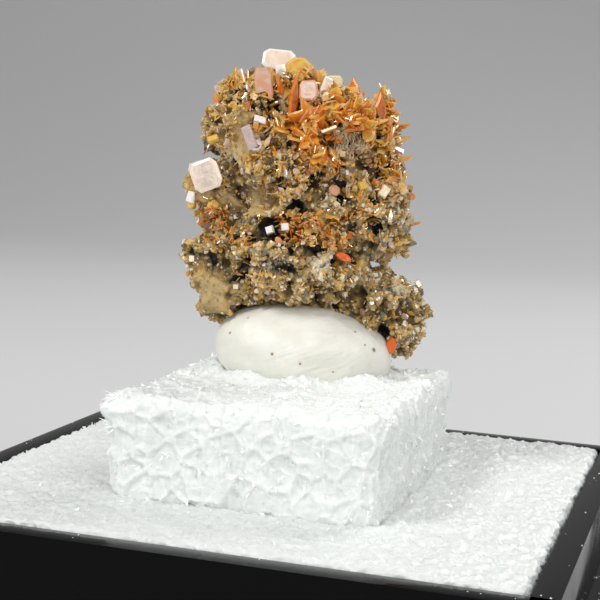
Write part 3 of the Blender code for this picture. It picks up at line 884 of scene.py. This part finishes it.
class SPECIMEN_PG_rock(bpy.types.PropertyGroup):
    tan: a_colour("Tan", "Plain stone", (0.52, 0.37, 0.17))
    olive: a_colour("Olive", "Grey-green stone", (0.15, 0.125, 0.065))
    ochre: a_colour("Ochre", "Limonite", (0.62, 0.37, 0.08))
    pale: a_colour("Pale", "Palest crust", (0.8, 0.7, 0.5))
    slate: a_colour("Slate", "Bluish dark lumps", (0.06, 0.075, 0.095))
    # Near black of the painted shade in the stone's pits, creases and holes, also the darkest grains' tone
    pit: a_colour("Pit", "Bottom of the pits", (0.006, 0.005, 0.004))
    stain: a_colour("Stain", "Orange stain", (0.72, 0.2, 0.015))
    yellow: a_colour("Yellow", "Yellow crust", (0.78, 0.47, 0.06))
    crust: a_colour("Crust", "Pale grey crust", (0.72, 0.66, 0.5))
    # Painted glint: the near white of the brightest grains
    painted_glint: a_colour("Glint", "Bright grains", (0.95, 0.9, 0.8))
    grid: a_length("Grid", "Size of the stone mesh's faces", 0.085 * MM)
    crumbs: a_count("Crumbs", "Loose grains that crust the stone", 26000)


class SPECIMEN_PG_crystals(bpy.types.PropertyGroup):
    ember: a_colour("Ember", "Deepest red-orange", (0.5, 0.09, 0.006))
    orange: a_colour("Orange", "Main orange", (0.9, 0.24, 0.015))
    amber: a_colour("Amber", "Lighter orange", (0.96, 0.48, 0.06))
    honey: a_colour("Honey", "Yellowish plates", (0.95, 0.6, 0.12))
    cream: a_colour("Cream", "Pale yellow plates", (0.92, 0.75, 0.48))
    peach: a_colour("Peach", "Pale plates", (0.86, 0.69, 0.56))
    # Painted highlight along the rims of the pale plates
    rim_highlight: a_colour("White", "Rims of the pale plates", (0.9, 0.84, 0.79))
    lilac: a_colour("Lilac", "Greyish pink plates", (0.6, 0.45, 0.42))
    salmon: a_colour("Salmon", "Pink-orange plates", (0.76, 0.37, 0.22))
    rim: a_length("Rim", "Width of the bright rims of the large plates", 0.04 * MM)


# Pieces


class SPECIMEN_OT_stage(bpy.types.Operator):
    """Makes the pale floor, the studio lights and the camera"""

    bl_idname = "specimen.stage"
    bl_label = "Stage"

    def execute(self, context):
        stage = context.scene.specimen_stage
        self.floor(stage)
        for name, (place, side) in LIGHTS.items():
            self.light(name, Vector(place), side, getattr(stage, name))
        self.air(stage)
        self.camera()
        context.scene.view_settings.view_transform = "Standard"
        return {"FINISHED"}

    @staticmethod
    def floor(stage):
        def at_back(vertex):
            return vertex.co.y > STAGE_DEPTH / 2 - 0.1

        sweep = primitive("plane", "floor", size=1.0)
        sweep.scale = (STAGE_WIDTH, STAGE_DEPTH, 1.0)
        settle()
        edit(sweep, "EDGE")
        pick(sweep, lambda edge: all(at_back(v) for v in edge.verts), "edges")
        bpy.ops.mesh.extrude_region_move(TRANSFORM_OT_translate={"value": (0.0, 0.0, STAGE_HEIGHT)})
        pick(sweep, lambda edge: all(at_back(v) and v.co.z < 0.01 for v in edge.verts), "edges")
        bpy.ops.mesh.bevel(offset=SWEEP_RADIUS, segments=16)
        end_edit()
        bpy.ops.object.shade_smooth()
        look = Look("pale_floor", Base_Color=(*stage.floor, 1.0), Roughness=0.8)
        sweep.data.materials.append(look.material)

    @staticmethod
    def light(name, place, side, power):
        light = bpy.data.lights.new(name, "AREA")
        light.energy = power
        light.size = side
        turn = (place - LIGHT_TARGET).to_track_quat("Z", "Y").to_matrix().to_4x4()
        link(name, light).matrix_world = Matrix.Translation(place) @ turn

    @staticmethod
    def air(stage):
        world = bpy.data.worlds.new("studio_air")
        bpy.context.scene.world = world
        world.use_nodes = True
        background = world.node_tree.nodes["Background"]
        background.inputs["Color"].default_value = (1.0, 1.0, 1.0, 1.0)
        background.inputs["Strength"].default_value = stage.air

    @staticmethod
    def camera():
        level = Vector((-math.sin(CAMERA_TURN), math.cos(CAMERA_TURN), 0.0))
        ahead = level * math.cos(CAMERA_DIP) - UP * math.sin(CAMERA_DIP)
        right = ahead.cross(UP).normalized()
        above = right.cross(ahead)
        tilted_right = math.cos(CAMERA_ROLL) * right + math.sin(CAMERA_ROLL) * above
        tilted_up = math.cos(CAMERA_ROLL) * above - math.sin(CAMERA_ROLL) * right
        lens = bpy.data.cameras.new("camera")
        lens.lens = CAMERA_LENS
        lens.sensor_width = 36.0
        lens.clip_start = 1.0 * MM
        pose = Matrix((tilted_right, tilted_up, -ahead)).transposed().to_4x4()
        pose.translation = CAMERA_PLACE
        made = link("camera", lens)
        made.matrix_world = pose
        bpy.context.scene.camera = made


class SPECIMEN_OT_tray(bpy.types.Operator):
    """Makes the glossy black base and the dust on its rim"""

    bl_idname = "specimen.tray"
    bl_label = "Display base"

    def execute(self, context):
        tray = context.scene.specimen_tray
        shell = self.shell(tray)
        finish(shell, styrene_look(tray))
        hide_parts("display_base")
        self.dust(tray)
        return {"FINISHED"}

    @staticmethod
    def shell(tray):
        side = BASE_HIGH.x - BASE_LOW.x
        made = primitive("cube", "base_shell", size=1.0, location=(0, 0, FLANGE_HEIGHT / 2))
        made.scale = (side, side, FLANGE_HEIGHT)
        settle()
        edit(made, "EDGE")
        pick(made, lambda edge: abs(edge.verts[0].co.z - edge.verts[1].co.z) > FLANGE_HEIGHT / 2, "edges")
        bpy.ops.mesh.bevel(offset=CORNER_RADIUS, segments=8)
        bpy.ops.mesh.select_mode(type="FACE")
        pick(made, lambda face: face.normal.z > 0.9)
        bpy.ops.mesh.inset(thickness=COLLAR_INSET)
        collar_height = BASE_HIGH.z - FLANGE_HEIGHT
        bpy.ops.mesh.extrude_region_move(TRANSFORM_OT_translate={"value": (0, 0, collar_height)})
        bpy.ops.mesh.inset(thickness=WALL)
        bpy.ops.mesh.extrude_region_move(TRANSFORM_OT_translate={"value": (0, 0, FLOOR - BASE_HIGH.z)})
        end_edit()
        apply_modifier(made, "BEVEL", width=tray.edge, segments=3, limit_method="ANGLE",
                       angle_limit=math.radians(50))
        bpy.ops.object.shade_smooth_by_angle(angle=math.radians(35))
        return made

    @staticmethod
    def dust(tray):
        """Specks on the solid's own rim, whose triangles are the same in every run."""
        dice = np.random.default_rng(DUST_SEED)
        places, normals, _ = surface_sites(frame["nodes"]["display_base"], tray.dust * DUST_TRIES, dice)
        rim = (normals[:, 2] > 0.9) & (places[:, 2] > FLANGE_HEIGHT * 0.9)
        rim &= np.abs(places[:, :2]).max(1) > DUST_FROM
        places, normals = places[rim][: tray.dust], normals[rim][: tray.dust]
        mote = lump("mote")
        size = dice.uniform(0.03, 0.11, (len(places), 1)) * MM * dice.uniform(0.5, 1.2, (len(places), 3))
        axes = standing_axes(normals, dice, lean=0.6)
        specks = strew("rim_dust", mote, places, axes, size, dice.random(len(places)))
        discard(mote)
        finish(specks, Look("dust", Base_Color=(*tray.dust_colour, 1.0), Roughness=0.8))


class SPECIMEN_OT_foam(bpy.types.Operator):
    """Makes the foam sheet and the foam riser with their cut cells and torn flakes"""

    bl_idname = "specimen.foam"
    bl_label = "Foam"

    def execute(self, context):
        foam = context.scene.specimen_foam
        sheet = self.sheet(foam)
        riser = self.riser(foam)
        finish(sheet, foam_look("sheet_foam", foam, foam.sheet_cell, SHEET_SHADE))
        finish(riser, foam_look("riser_foam", foam, foam.cell))
        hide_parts("foam_liner")
        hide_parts("foam_riser")
        self.flakes(sheet, riser, foam)
        return {"FINISHED"}

    @staticmethod
    def block(name, low, high, rounding, grid):
        made = primitive("cube", name, size=1.0, location=(low + high) / 2)
        made.scale = high - low
        settle()
        apply_modifier(made, "BEVEL", width=rounding, segments=5, limit_method="ANGLE")
        apply_modifier(made, "REMESH", mode="VOXEL", voxel_size=grid)
        return made

    def sheet(self, foam):
        low = Vector((LINER_LOW.x, LINER_LOW.y, LINER_HIGH.z - SHEET_THICKNESS))
        high = LINER_HIGH - Vector((0, 0, SHEET_DROP))
        made = self.block("foam_sheet", low, high, SHEET_ROUNDING, foam.grid * SHEET_COARSER)
        self.cut_cells(made, foam.sheet_cell, SHEET_CELL_DEPTH, 1.0)
        swell(made, 2.4 * MM, 0.2 * MM)
        bpy.ops.object.shade_smooth()
        return made

    def riser(self, foam):
        low = RISER_LOW - Vector((0, 0, RISER_SUNK))
        made = self.block("riser_block", low, RISER_HIGH, RISER_ROUNDING, foam.grid)
        swell(made, 3.0 * MM, 0.6 * MM)
        self.cut_cells(made, foam.cell, foam.depth / MM, RISER_SQUAT)
        self.pull_corners(made)
        self.press_in(made)
        bpy.ops.object.shade_smooth()
        return made

    @staticmethod
    def cut_cells(made, size, depth, squat):
        """Bubbles that the knife opened: hollows at different depths between thin standing walls."""
        dice = np.random.default_rng(CELL_SEED)
        points = points_of(made)
        low, high = points.min(0) - size, points.max(0) + size
        counts = np.ceil((high - low) / (size * np.array((1, 1, 1 / squat)))).astype(int)
        grid = np.stack(np.meshgrid(*(np.arange(n) for n in counts), indexing="ij"), -1).reshape(-1, 3)
        seeds = low + (grid + dice.uniform(0, 1, grid.shape)) * (high - low) / counts
        seeds[:, 2] *= squat
        depths = dice.uniform(0.45, 1.0, len(seeds)) * depth
        tree = points_tree(seeds)

        def relief_at(place, _):
            squashed = Vector((place.x, place.y, place.z * squat)) * MM
            (_, nearest, first), (_, _, second) = tree.find_n(squashed, 2)
            wall = 1.0 - eased((second - first) / size, 0.0, FILM_WIDTH)
            torn = noise.noise(place / TEAR_SIZE)
            creased = abs(noise.noise(Vector((place.x, place.y, place.z * CREASE_SLOPE)) / CREASE_SIZE))
            rough = depth * (0.3 * torn + 0.35 * creased)
            height = depths[nearest] * (wall - 1.0) * (0.7 + 0.9 * creased) + rough
            # The mark is where the painted highlight goes, on the walls and creases; the hollows get painted
            # shade
            return height, min(1.0, wall * (0.8 + 0.4 * torn) + 0.45 * eased(creased, 0.15, 0.4))

        sculpt(made, relief_at, "ridge")

    @staticmethod
    def pull_corners(made):
        """Torn lips at two upper corners of the riser."""
        points = points_of(made)
        middle = (RISER_LOW + RISER_HIGH) / 2
        for corner, below, reach, pull in TORN_CORNERS:
            tip = Vector((*corner, RISER_HIGH.z - below * MM)).lerp(middle, 0.03)
            away = np.linalg.norm(points - np.array(tip), axis=1) / (reach * MM)
            points += np.clip(1 - away, 0, 1)[:, None] ** 1.5 * np.array(Vector(pull) * MM)
        move_points(made, points)

    @staticmethod
    def press_in(made):
        """The foam swells round the foot of the putty."""
        points = points_of(made)
        off = points / MM - np.array(on_specimen(*PUTTY_CENTRE)) / MM
        reach = np.hypot(off @ np.array(ACROSS) / PUTTY_RADII[0], off @ np.array(INWARD) / PUTTY_RADII[1])
        lift = np.clip(1 - np.abs(reach - 1.0) / SWELLING_REACH, 0, 1)
        lift *= points[:, 2] > RISER_HIGH.z - SWELLING_DEPTH * MM
        points[:, 2] += lift * (SWELLING_RISE + SWELLING_WAVE * np.sin(points[:, 0] / MM * 2.3)) * MM
        move_points(made, points)

    def flakes(self, sheet, riser, foam):
        dice = np.random.default_rng(FLAKE_SEED)
        film = primitive("cone", "film", vertices=3, radius1=0.5, radius2=0.0, depth=1.0,
                         location=(0, 0, 0.3))
        settle()
        made = []
        for piece, (share, longest) in ((sheet, SHEET_FLAKES), (riser, RISER_FLAKES)):
            places, normals, _ = surface_sites(piece, int(foam.flakes * share), dice)
            shown = normals[:, 2] > 0.2 if piece is sheet else places[:, 2] > SHEET_TOP
            places, normals = places[shown], normals[shown]
            column = (len(places), 1)
            long = dice.uniform(0.25, 1.0, column) * longest * MM
            size = long * np.hstack([dice.uniform(0.6, 1.1, column), np.full(column, 0.12), np.ones(column)])
            axes = standing_axes(normals, dice, lean=1.6)
            made.append(strew(piece.name + "_flakes", film, places, axes, size, dice.random(len(places))))
        made.append(self.tuft(film))
        discard(film)
        # The flakes' lighter colour is a painted highlight on the torn film
        look = Look("foam_film", Base_Color=(*foam.lit_film_colour, 1.0), Roughness=0.2)
        for piece in made:
            finish(piece, look)

    @staticmethod
    def tuft(film):
        """Torn shreds that stand out from the riser's near left corner."""
        dice = np.random.default_rng(TUFT_SEED)
        shape = (TUFT_SHREDS, 3)
        places = np.array(RISER_LOW) + dice.uniform((0.1, 0.1, 0), (0.9, 0.7, 0), shape) * MM
        places[:, 2] = RISER_HIGH.z - dice.uniform(0.2, 1.7, TUFT_SHREDS) * MM
        outward = np.tile((-0.8, -0.35, 0.1), (TUFT_SHREDS, 1))
        long = dice.uniform(0.3, 0.95, (TUFT_SHREDS, 1)) * MM
        size = long * dice.uniform((0.15, 0.06, 1.0), (0.5, 0.12, 1.0), shape)
        axes = standing_axes(outward, dice, lean=0.45)
        return strew("corner_tuft", film, places, axes, size, dice.random(TUFT_SHREDS))


class SPECIMEN_OT_putty(bpy.types.Operator):
    """Makes the pressed bean of putty"""

    bl_idname = "specimen.putty"
    bl_label = "Putty"

    def execute(self, context):
        putty = context.scene.specimen_putty
        bean = primitive("ico_sphere", "putty_bean", subdivisions=6, radius=1.0)
        for vertex in bean.data.vertices:
            self.fill_out(vertex.co)
        grow = Matrix.Diagonal((PUTTY_RADII[0] * MM, PUTTY_RADII[2] * MM, PUTTY_RADII[1] * MM, 1.0))
        turn = Matrix((ACROSS, UP, -INWARD)).transposed().to_4x4() @ Matrix.Rotation(PUTTY_TILT, 4, "Z")
        bean.data.transform(turn @ grow)
        bean.data.transform(Matrix.Translation(on_specimen(*PUTTY_CENTRE)))
        swell(bean, 3.4 * MM, putty.dent * 1.6)
        swell(bean, 1.1 * MM, putty.dent * 0.25)
        foot = PUTTY_FOOT - PUTTY_SINK
        edit(bean, "VERT")
        pick(bean, lambda vertex: vertex.co.z < foot, "verts")
        bpy.ops.transform.resize(value=(1, 1, 0), center_override=(0, 0, foot))
        end_edit()
        bpy.ops.object.shade_smooth()
        face = [surface_tree(bean)]
        specks = [(sighted(face, across, up)[0], size) for across, up, size in PUTTY_SPECKS]
        finish(bean, putty_look(putty, specks))
        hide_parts("mineral_tack")
        return {"FINISHED"}

    @staticmethod
    def fill_out(place):
        """Squares the lower half of a unit ball, as putty pressed down stands out over its foot."""
        if place.y < 0:
            low = min(-place.y, 0.985)
            wider = (1 - low**PUTTY_SQUARENESS) ** (1 / PUTTY_SQUARENESS) / math.sqrt(1 - low * low)
            place.x *= wider
            place.z *= wider


class SPECIMEN_OT_rock(bpy.types.Operator):
    """Makes the weathered surface of the stone from its solid"""

    bl_idname = "specimen.rock"
    bl_label = "Matrix"

    def execute(self, context):
        rock = context.scene.specimen_rock
        made = link("gossan", frame["nodes"]["matrix"].data.copy())
        edit_merged(made)
        end_edit()
        apply_modifier(made, "REMESH", mode="VOXEL", voxel_size=rock.grid)
        apply_modifier(made, "SMOOTH", factor=0.5, iterations=2)
        points = points_of(made)
        bare = 0.2 + 0.8 * far_from(points, SMOOTH_PATCHES)
        rough = bare * (0.25 + 0.75 * far_from(points, THIN_PATCHES))
        holes = self.hole_depths(points)
        # The mark kept is the painted shade of the pits, creases and holes
        sculpt(made, lambda place, n: self.relief_at(place, rough[n], holes[n]), "pit")
        bpy.ops.object.shade_smooth()
        finish(made, gossan_look(rock))
        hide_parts("matrix")
        return {"FINISHED"}

    @staticmethod
    def relief_at(place, rough, hole):
        """How far the stone stands out here (mm), and its painted shade in pits, creases and holes, from 0 to
        1.
        """
        away = cell_distance(place, LUMP_SIZE)
        crease = eased(away, 0.5, 0.72)
        nodule = 0.45 - cell_distance(place + Vector((3, 1, 4)), NODULE_SIZE)
        grain = noise.fractal(place / GRAIN_SIZE, 0.8, 2.1, 4)
        pit = eased(noise.noise(place / PIT_SIZE + Vector((5, 2, 7))), 0.1, 0.38)
        prick = eased(noise.noise(place / PRICK_SIZE + Vector((1, 8, 3))), 0.12, 0.36)
        raised = LUMP_RISE * (0.45 - away) + NODULE_RISE * nodule + GRAIN_RISE * grain
        height = raised - PIT_DEPTH * pit - PRICK_DEPTH * prick - CREASE_DEPTH * crease
        shadow = rough * rough * max(pit, 0.8 * prick, 0.75 * crease) + hole * 2.5
        return height * rough - hole, min(1.0, shadow)

    @staticmethod
    def hole_depths(points):
        """How deep each point lies in a named hole, measured square to the line of sight (mm)."""
        eye = np.array(CAMERA_PLACE)
        facing = (points - np.array(SPECIMEN_AXIS)) @ np.array(INWARD) < 0
        depths = np.zeros(len(points))
        for across, up, half_across, half_up, depth in HOLES:
            line = np.array(on_specimen(across, 0.0, up)) - eye
            off = points - eye
            off -= line * (off @ line / (line @ line))[:, None]
            reach = np.hypot(off @ np.array(ACROSS) / (half_across * MM), off[:, 2] / (half_up * MM))
            depths = np.maximum(depths, depth * np.clip(1.5 - reach, 0, 1) * facing)
        return depths


class SPECIMEN_OT_crumbs(bpy.types.Operator):
    """Strews the grains and needles that crust the stone"""

    bl_idname = "specimen.crumbs"
    bl_label = "Crumbs"

    def execute(self, context):
        rock = context.scene.specimen_rock
        stone = bpy.data.objects["gossan"]
        dice = np.random.default_rng(CRUMB_SEED)
        look = crumb_look(rock)
        grain = lump("grain")
        block = primitive("cube", "block", size=0.8)
        # The stone's painted shade mark: fewer grains lie where it is deep
        pits = read(stone.data.attributes["pit"].data, "value", 1, np.float32)
        for form, (name, share, largest) in zip((grain, block), CRUMB_KINDS):
            places, normals, beside = surface_sites(stone, int(rock.crumbs * share), dice)
            rough = far_from(places, SMOOTH_PATCHES, 0.7)
            kept = dice.random(len(places)) < (0.1 + 0.9 * rough) * (1.0 - pits[beside])
            places, normals = places[kept], normals[kept]
            base = largest * MM * dice.beta(1.1, 5.5, (len(places), 1)) + LEAST_CRUMB * MM
            size = base * dice.uniform(0.5, 1.4, (len(places), 3))
            axes = standing_axes(normals, dice, lean=0.9)
            tones = dice.random(len(places)) * np.clip(1.25 - 1.4 * base[:, 0] / MM, 0.5, 1.0)
            self.keep(strew(name, form, places, axes, size, tones), look)
        self.needles(stone, dice, look)
        discard(grain, block)
        return {"FINISHED"}

    @staticmethod
    def keep(crumbs, look):
        finish(crumbs, look)

    def needles(self, stone, dice, look):
        """A tuft of pale needles between the orange clusters."""
        across, up, wide, high = GREY_CRUST
        spots = dice.uniform(-1, 1, (GREY_NEEDLES, 2)) * (wide, high) + (across, up)
        face = [surface_tree(stone)]
        places, normals = columns(sighted(face, *spot) for spot in spots.tolist())
        needle = primitive("cone", "needle", vertices=4, radius1=0.2, radius2=0.05, depth=1.0,
                           location=(0, 0, 0.4))
        settle()
        long = dice.uniform(0.15, 0.5, (GREY_NEEDLES, 1)) * MM
        size = long * dice.uniform((0.5, 0.5, 1.0), (1.1, 1.1, 1.0), (GREY_NEEDLES, 3))
        tones = dice.uniform(0.3, 1.0, GREY_NEEDLES)
        axes = standing_axes(normals, dice, lean=0.6)
        self.keep(strew("grey_needles", needle, places, axes, size, tones), look)
        discard(needle)


class SPECIMEN_OT_crystals(bpy.types.Operator):
    """Gives the large crystals their glassy finishes"""

    bl_idname = "specimen.crystals"
    bl_label = "Large crystals"

    def execute(self, context):
        tints = context.scene.specimen_crystals
        finishes = self.finishes(tints)
        kinds = {name: kind for kind, names in CRYSTAL_KINDS.items() for name in names}
        for name, node in frame["nodes"].items():
            if name in NOT_CRYSTALS:
                continue
            look, slot = finishes[kinds.get(name, "orange")]
            crystal = self.faceted(name, node, tints.rim)
            finish(crystal, look)
            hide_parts(name)
        return {"FINISHED"}

    @staticmethod
    def finishes(tints):
        """The material and slot of each kind of large crystal, from its colours, clearness and roughness."""
        ember, orange, honey, cream = tints.ember, tints.orange, tints.honey, tints.cream
        peach, lilac, salmon = tints.peach, tints.lilac, tints.salmon
        # Each row: name, colour, deep colour, rim colour, clearness and roughness; rims lighter than the
        # body, on the peach, knob and orange plates, are painted highlight
        plates = {
            "wulfenite_peach": {
                "peach": ("peach_plate", peach * 1.07, peach * 0.92, tints.rim_highlight, 0.05),
                "lilac": ("lilac_plate", lilac, lilac * 0.85, lilac, 0.15, 0.25),
                # Darker peach for the knob plate: painted shade against the key light
                "frosted": ("frosted_plate", peach * 0.84, peach * 0.62, peach, 0.05, 0.2),
                "salmon": ("salmon_plate", salmon, peach * 0.8, salmon, 0.15),
            },
            "wulfenite_honey": {
                "honey": ("honey_plate", honey, tints.amber * 0.85, honey, 0.3),
                "cream": ("cream_plate", cream, cream * 0.85, cream, 0.15),
            },
            "wulfenite_orange": {
                "orange": ("orange_blade", orange * 0.85, ember, orange, 0.25),
                "ember": ("ember_chip", ember * 1.5, ember, ember * 1.5, 0.1),
            },
        }
        return {
            kind: (wulfenite_look(*row), slot) for slot, rows in plates.items() for kind, row in rows.items()
        }

    @staticmethod
    def faceted(name, node, rim):
        """The solid's own form with flat faces made whole, a narrow rim round each and bevelled edges."""
        made = link(f"{name}_crystal", node.data.copy())
        edit_merged(made)
        bpy.ops.mesh.dissolve_limited(angle_limit=math.radians(2))
        pick(made, lambda face: face.calc_area() > RIMMED_FACE * MM * MM)
        bpy.ops.mesh.inset(thickness=rim, use_individual=True)
        bm = bmesh.from_edit_mesh(made.data)
        middle = bm.verts.layers.float.new("middle")
        for vertex in bm.verts:
            vertex[middle] = float(vertex.select)
        bmesh.update_edit_mesh(made.data)
        end_edit()
        apply_modifier(made, "BEVEL", width=rim * 0.35, segments=1, limit_method="ANGLE",
                       angle_limit=math.radians(25))
        return made


class SPECIMEN_OT_druse(bpy.types.Operator):
    """Grows the small blades that crowd on the stone"""

    bl_idname = "specimen.druse"
    bl_label = "Small crystals"

    def execute(self, context):
        stone = bpy.data.objects["gossan"]
        crystals = [obj for obj in bpy.data.objects if obj.name.endswith("_crystal")]
        grown_on = [stone, *(obj for obj in crystals if obj.name.startswith(OVERGROWN))]
        bare = [obj for obj in crystals if not obj.name.startswith(OVERGROWN)]
        large = points_tree([vertex.co for obj in bare for vertex in obj.data.vertices])
        dice = np.random.default_rng(DRUSE_SEED)
        sites = self.front_sites([surface_tree(obj) for obj in grown_on], large, dice)
        sites += self.back_sites(stone, dice)
        places, normals, lengths, tones = columns(sites)
        look = druse_look(context.scene.specimen_crystals)
        kind = dice.integers(0, len(DRUSE_FORMS), len(places))
        for n, (name, sides, turn, width) in enumerate(DRUSE_FORMS):
            form = tablet(name, sides, turn)
            own = kind == n
            column = (own.sum(), 1)
            long = lengths[own][:, None] * MM
            size = long * np.hstack([
                width * dice.uniform(0.7, 1.2, column), dice.uniform(0.1, 0.2, column), np.ones(column)
            ])
            axes = standing_axes(normals[own], dice, lean=0.55)
            sunk = places[own] - axes[:, :, 2] * long * DRUSE_SUNK
            blades = strew(f"druse_{name}", form, sunk, axes, size, tones[own])
            discard(form)
            finish(blades, look)
        return {"FINISHED"}

    @staticmethod
    def front_sites(trees, large, dice):
        """Place, normal, length and tone of each blade in front, off the bare crystals and grey crust."""
        sites = []
        grey_across, grey_up, grey_wide, grey_high = GREY_CRUST
        for across, up, half_across, half_up, many, usual, tint in DRUSE_PATCHES:
            for _ in range(many):
                at_across = across + half_across * dice.uniform(-1, 1)
                at_up = up + half_up * dice.uniform(-1, 1)
                if abs(at_across - grey_across) < grey_wide and abs(at_up - grey_up) < grey_high:
                    continue
                spot, normal = sighted(trees, at_across, at_up)
                long = usual * dice.uniform(0.4, 1.3)
                tone = dice.uniform(*tint)
                if large.find(spot)[2] >= DRUSE_CLEARANCE * (long + 0.4):
                    sites.append((spot, normal, long, tone))
        return sites

    @staticmethod
    def back_sites(stone, dice):
        """The same for the back, where the blades are fewer and thin out downwards."""
        spots, outward, _ = surface_sites(stone, BACK_DRUSE * 6, dice)
        height = (spots[:, 2] - SHEET_TOP) / MM
        behind = outward @ np.array(INWARD) > -0.1
        chance = np.clip((height - 8.0) / 9.0, 0.03, 1.0) * 0.45
        kept = behind & (dice.random(len(spots)) < chance)
        sites = []
        for spot, normal, rise in zip(spots[kept][:BACK_DRUSE], outward[kept], height[kept]):
            long = dice.uniform(0.25, 0.8) * (0.6 + 0.4 * min(rise / 18, 1))
            sites.append((Vector(spot), Vector(normal), long, dice.uniform(0.1, 0.9)))
        return sites


class SPECIMEN_PT_panel(bpy.types.Panel):
    """Lists the pieces and their settings"""

    bl_label = "Wulfenite Specimen"
    bl_space_type = "VIEW_3D"
    bl_region_type = "UI"
    bl_category = "Specimen"

    def draw(self, context):
        for name, (_, *operators) in PIECES.items():
            box = self.layout.box()
            settings = getattr(context.scene, f"specimen_{name}")
            for key in settings.__annotations__:
                box.prop(settings, key)
            for operator in operators:
                box.operator(operator.bl_idname)


# The settings of each piece and its operators
PIECES = {
    "stage": (SPECIMEN_PG_stage, SPECIMEN_OT_stage),
    "tray": (SPECIMEN_PG_tray, SPECIMEN_OT_tray),
    "foam": (SPECIMEN_PG_foam, SPECIMEN_OT_foam),
    "putty": (SPECIMEN_PG_putty, SPECIMEN_OT_putty),
    "rock": (SPECIMEN_PG_rock, SPECIMEN_OT_rock, SPECIMEN_OT_crumbs),
    "crystals": (SPECIMEN_PG_crystals, SPECIMEN_OT_crystals, SPECIMEN_OT_druse),
}
CLASSES = [*(made for row in PIECES.values() for made in row), SPECIMEN_PT_panel]


def register():
    for made in CLASSES:
        bpy.utils.register_class(made)
    for name, (settings, *_) in PIECES.items():
        setattr(bpy.types.Scene, f"specimen_{name}", bpy.props.PointerProperty(type=settings))


def unregister():
    for name in PIECES:
        delattr(bpy.types.Scene, f"specimen_{name}")
    for made in reversed(CLASSES):
        bpy.utils.unregister_class(made)


def main():
    register()
    bpy.ops.specimen.stage()
    bpy.ops.specimen.tray()
    bpy.ops.specimen.foam()
    bpy.ops.specimen.putty()
    bpy.ops.specimen.rock()
    bpy.ops.specimen.crumbs()
    bpy.ops.specimen.crystals()
    bpy.ops.specimen.druse()


if __name__ == "__main__":
    main()
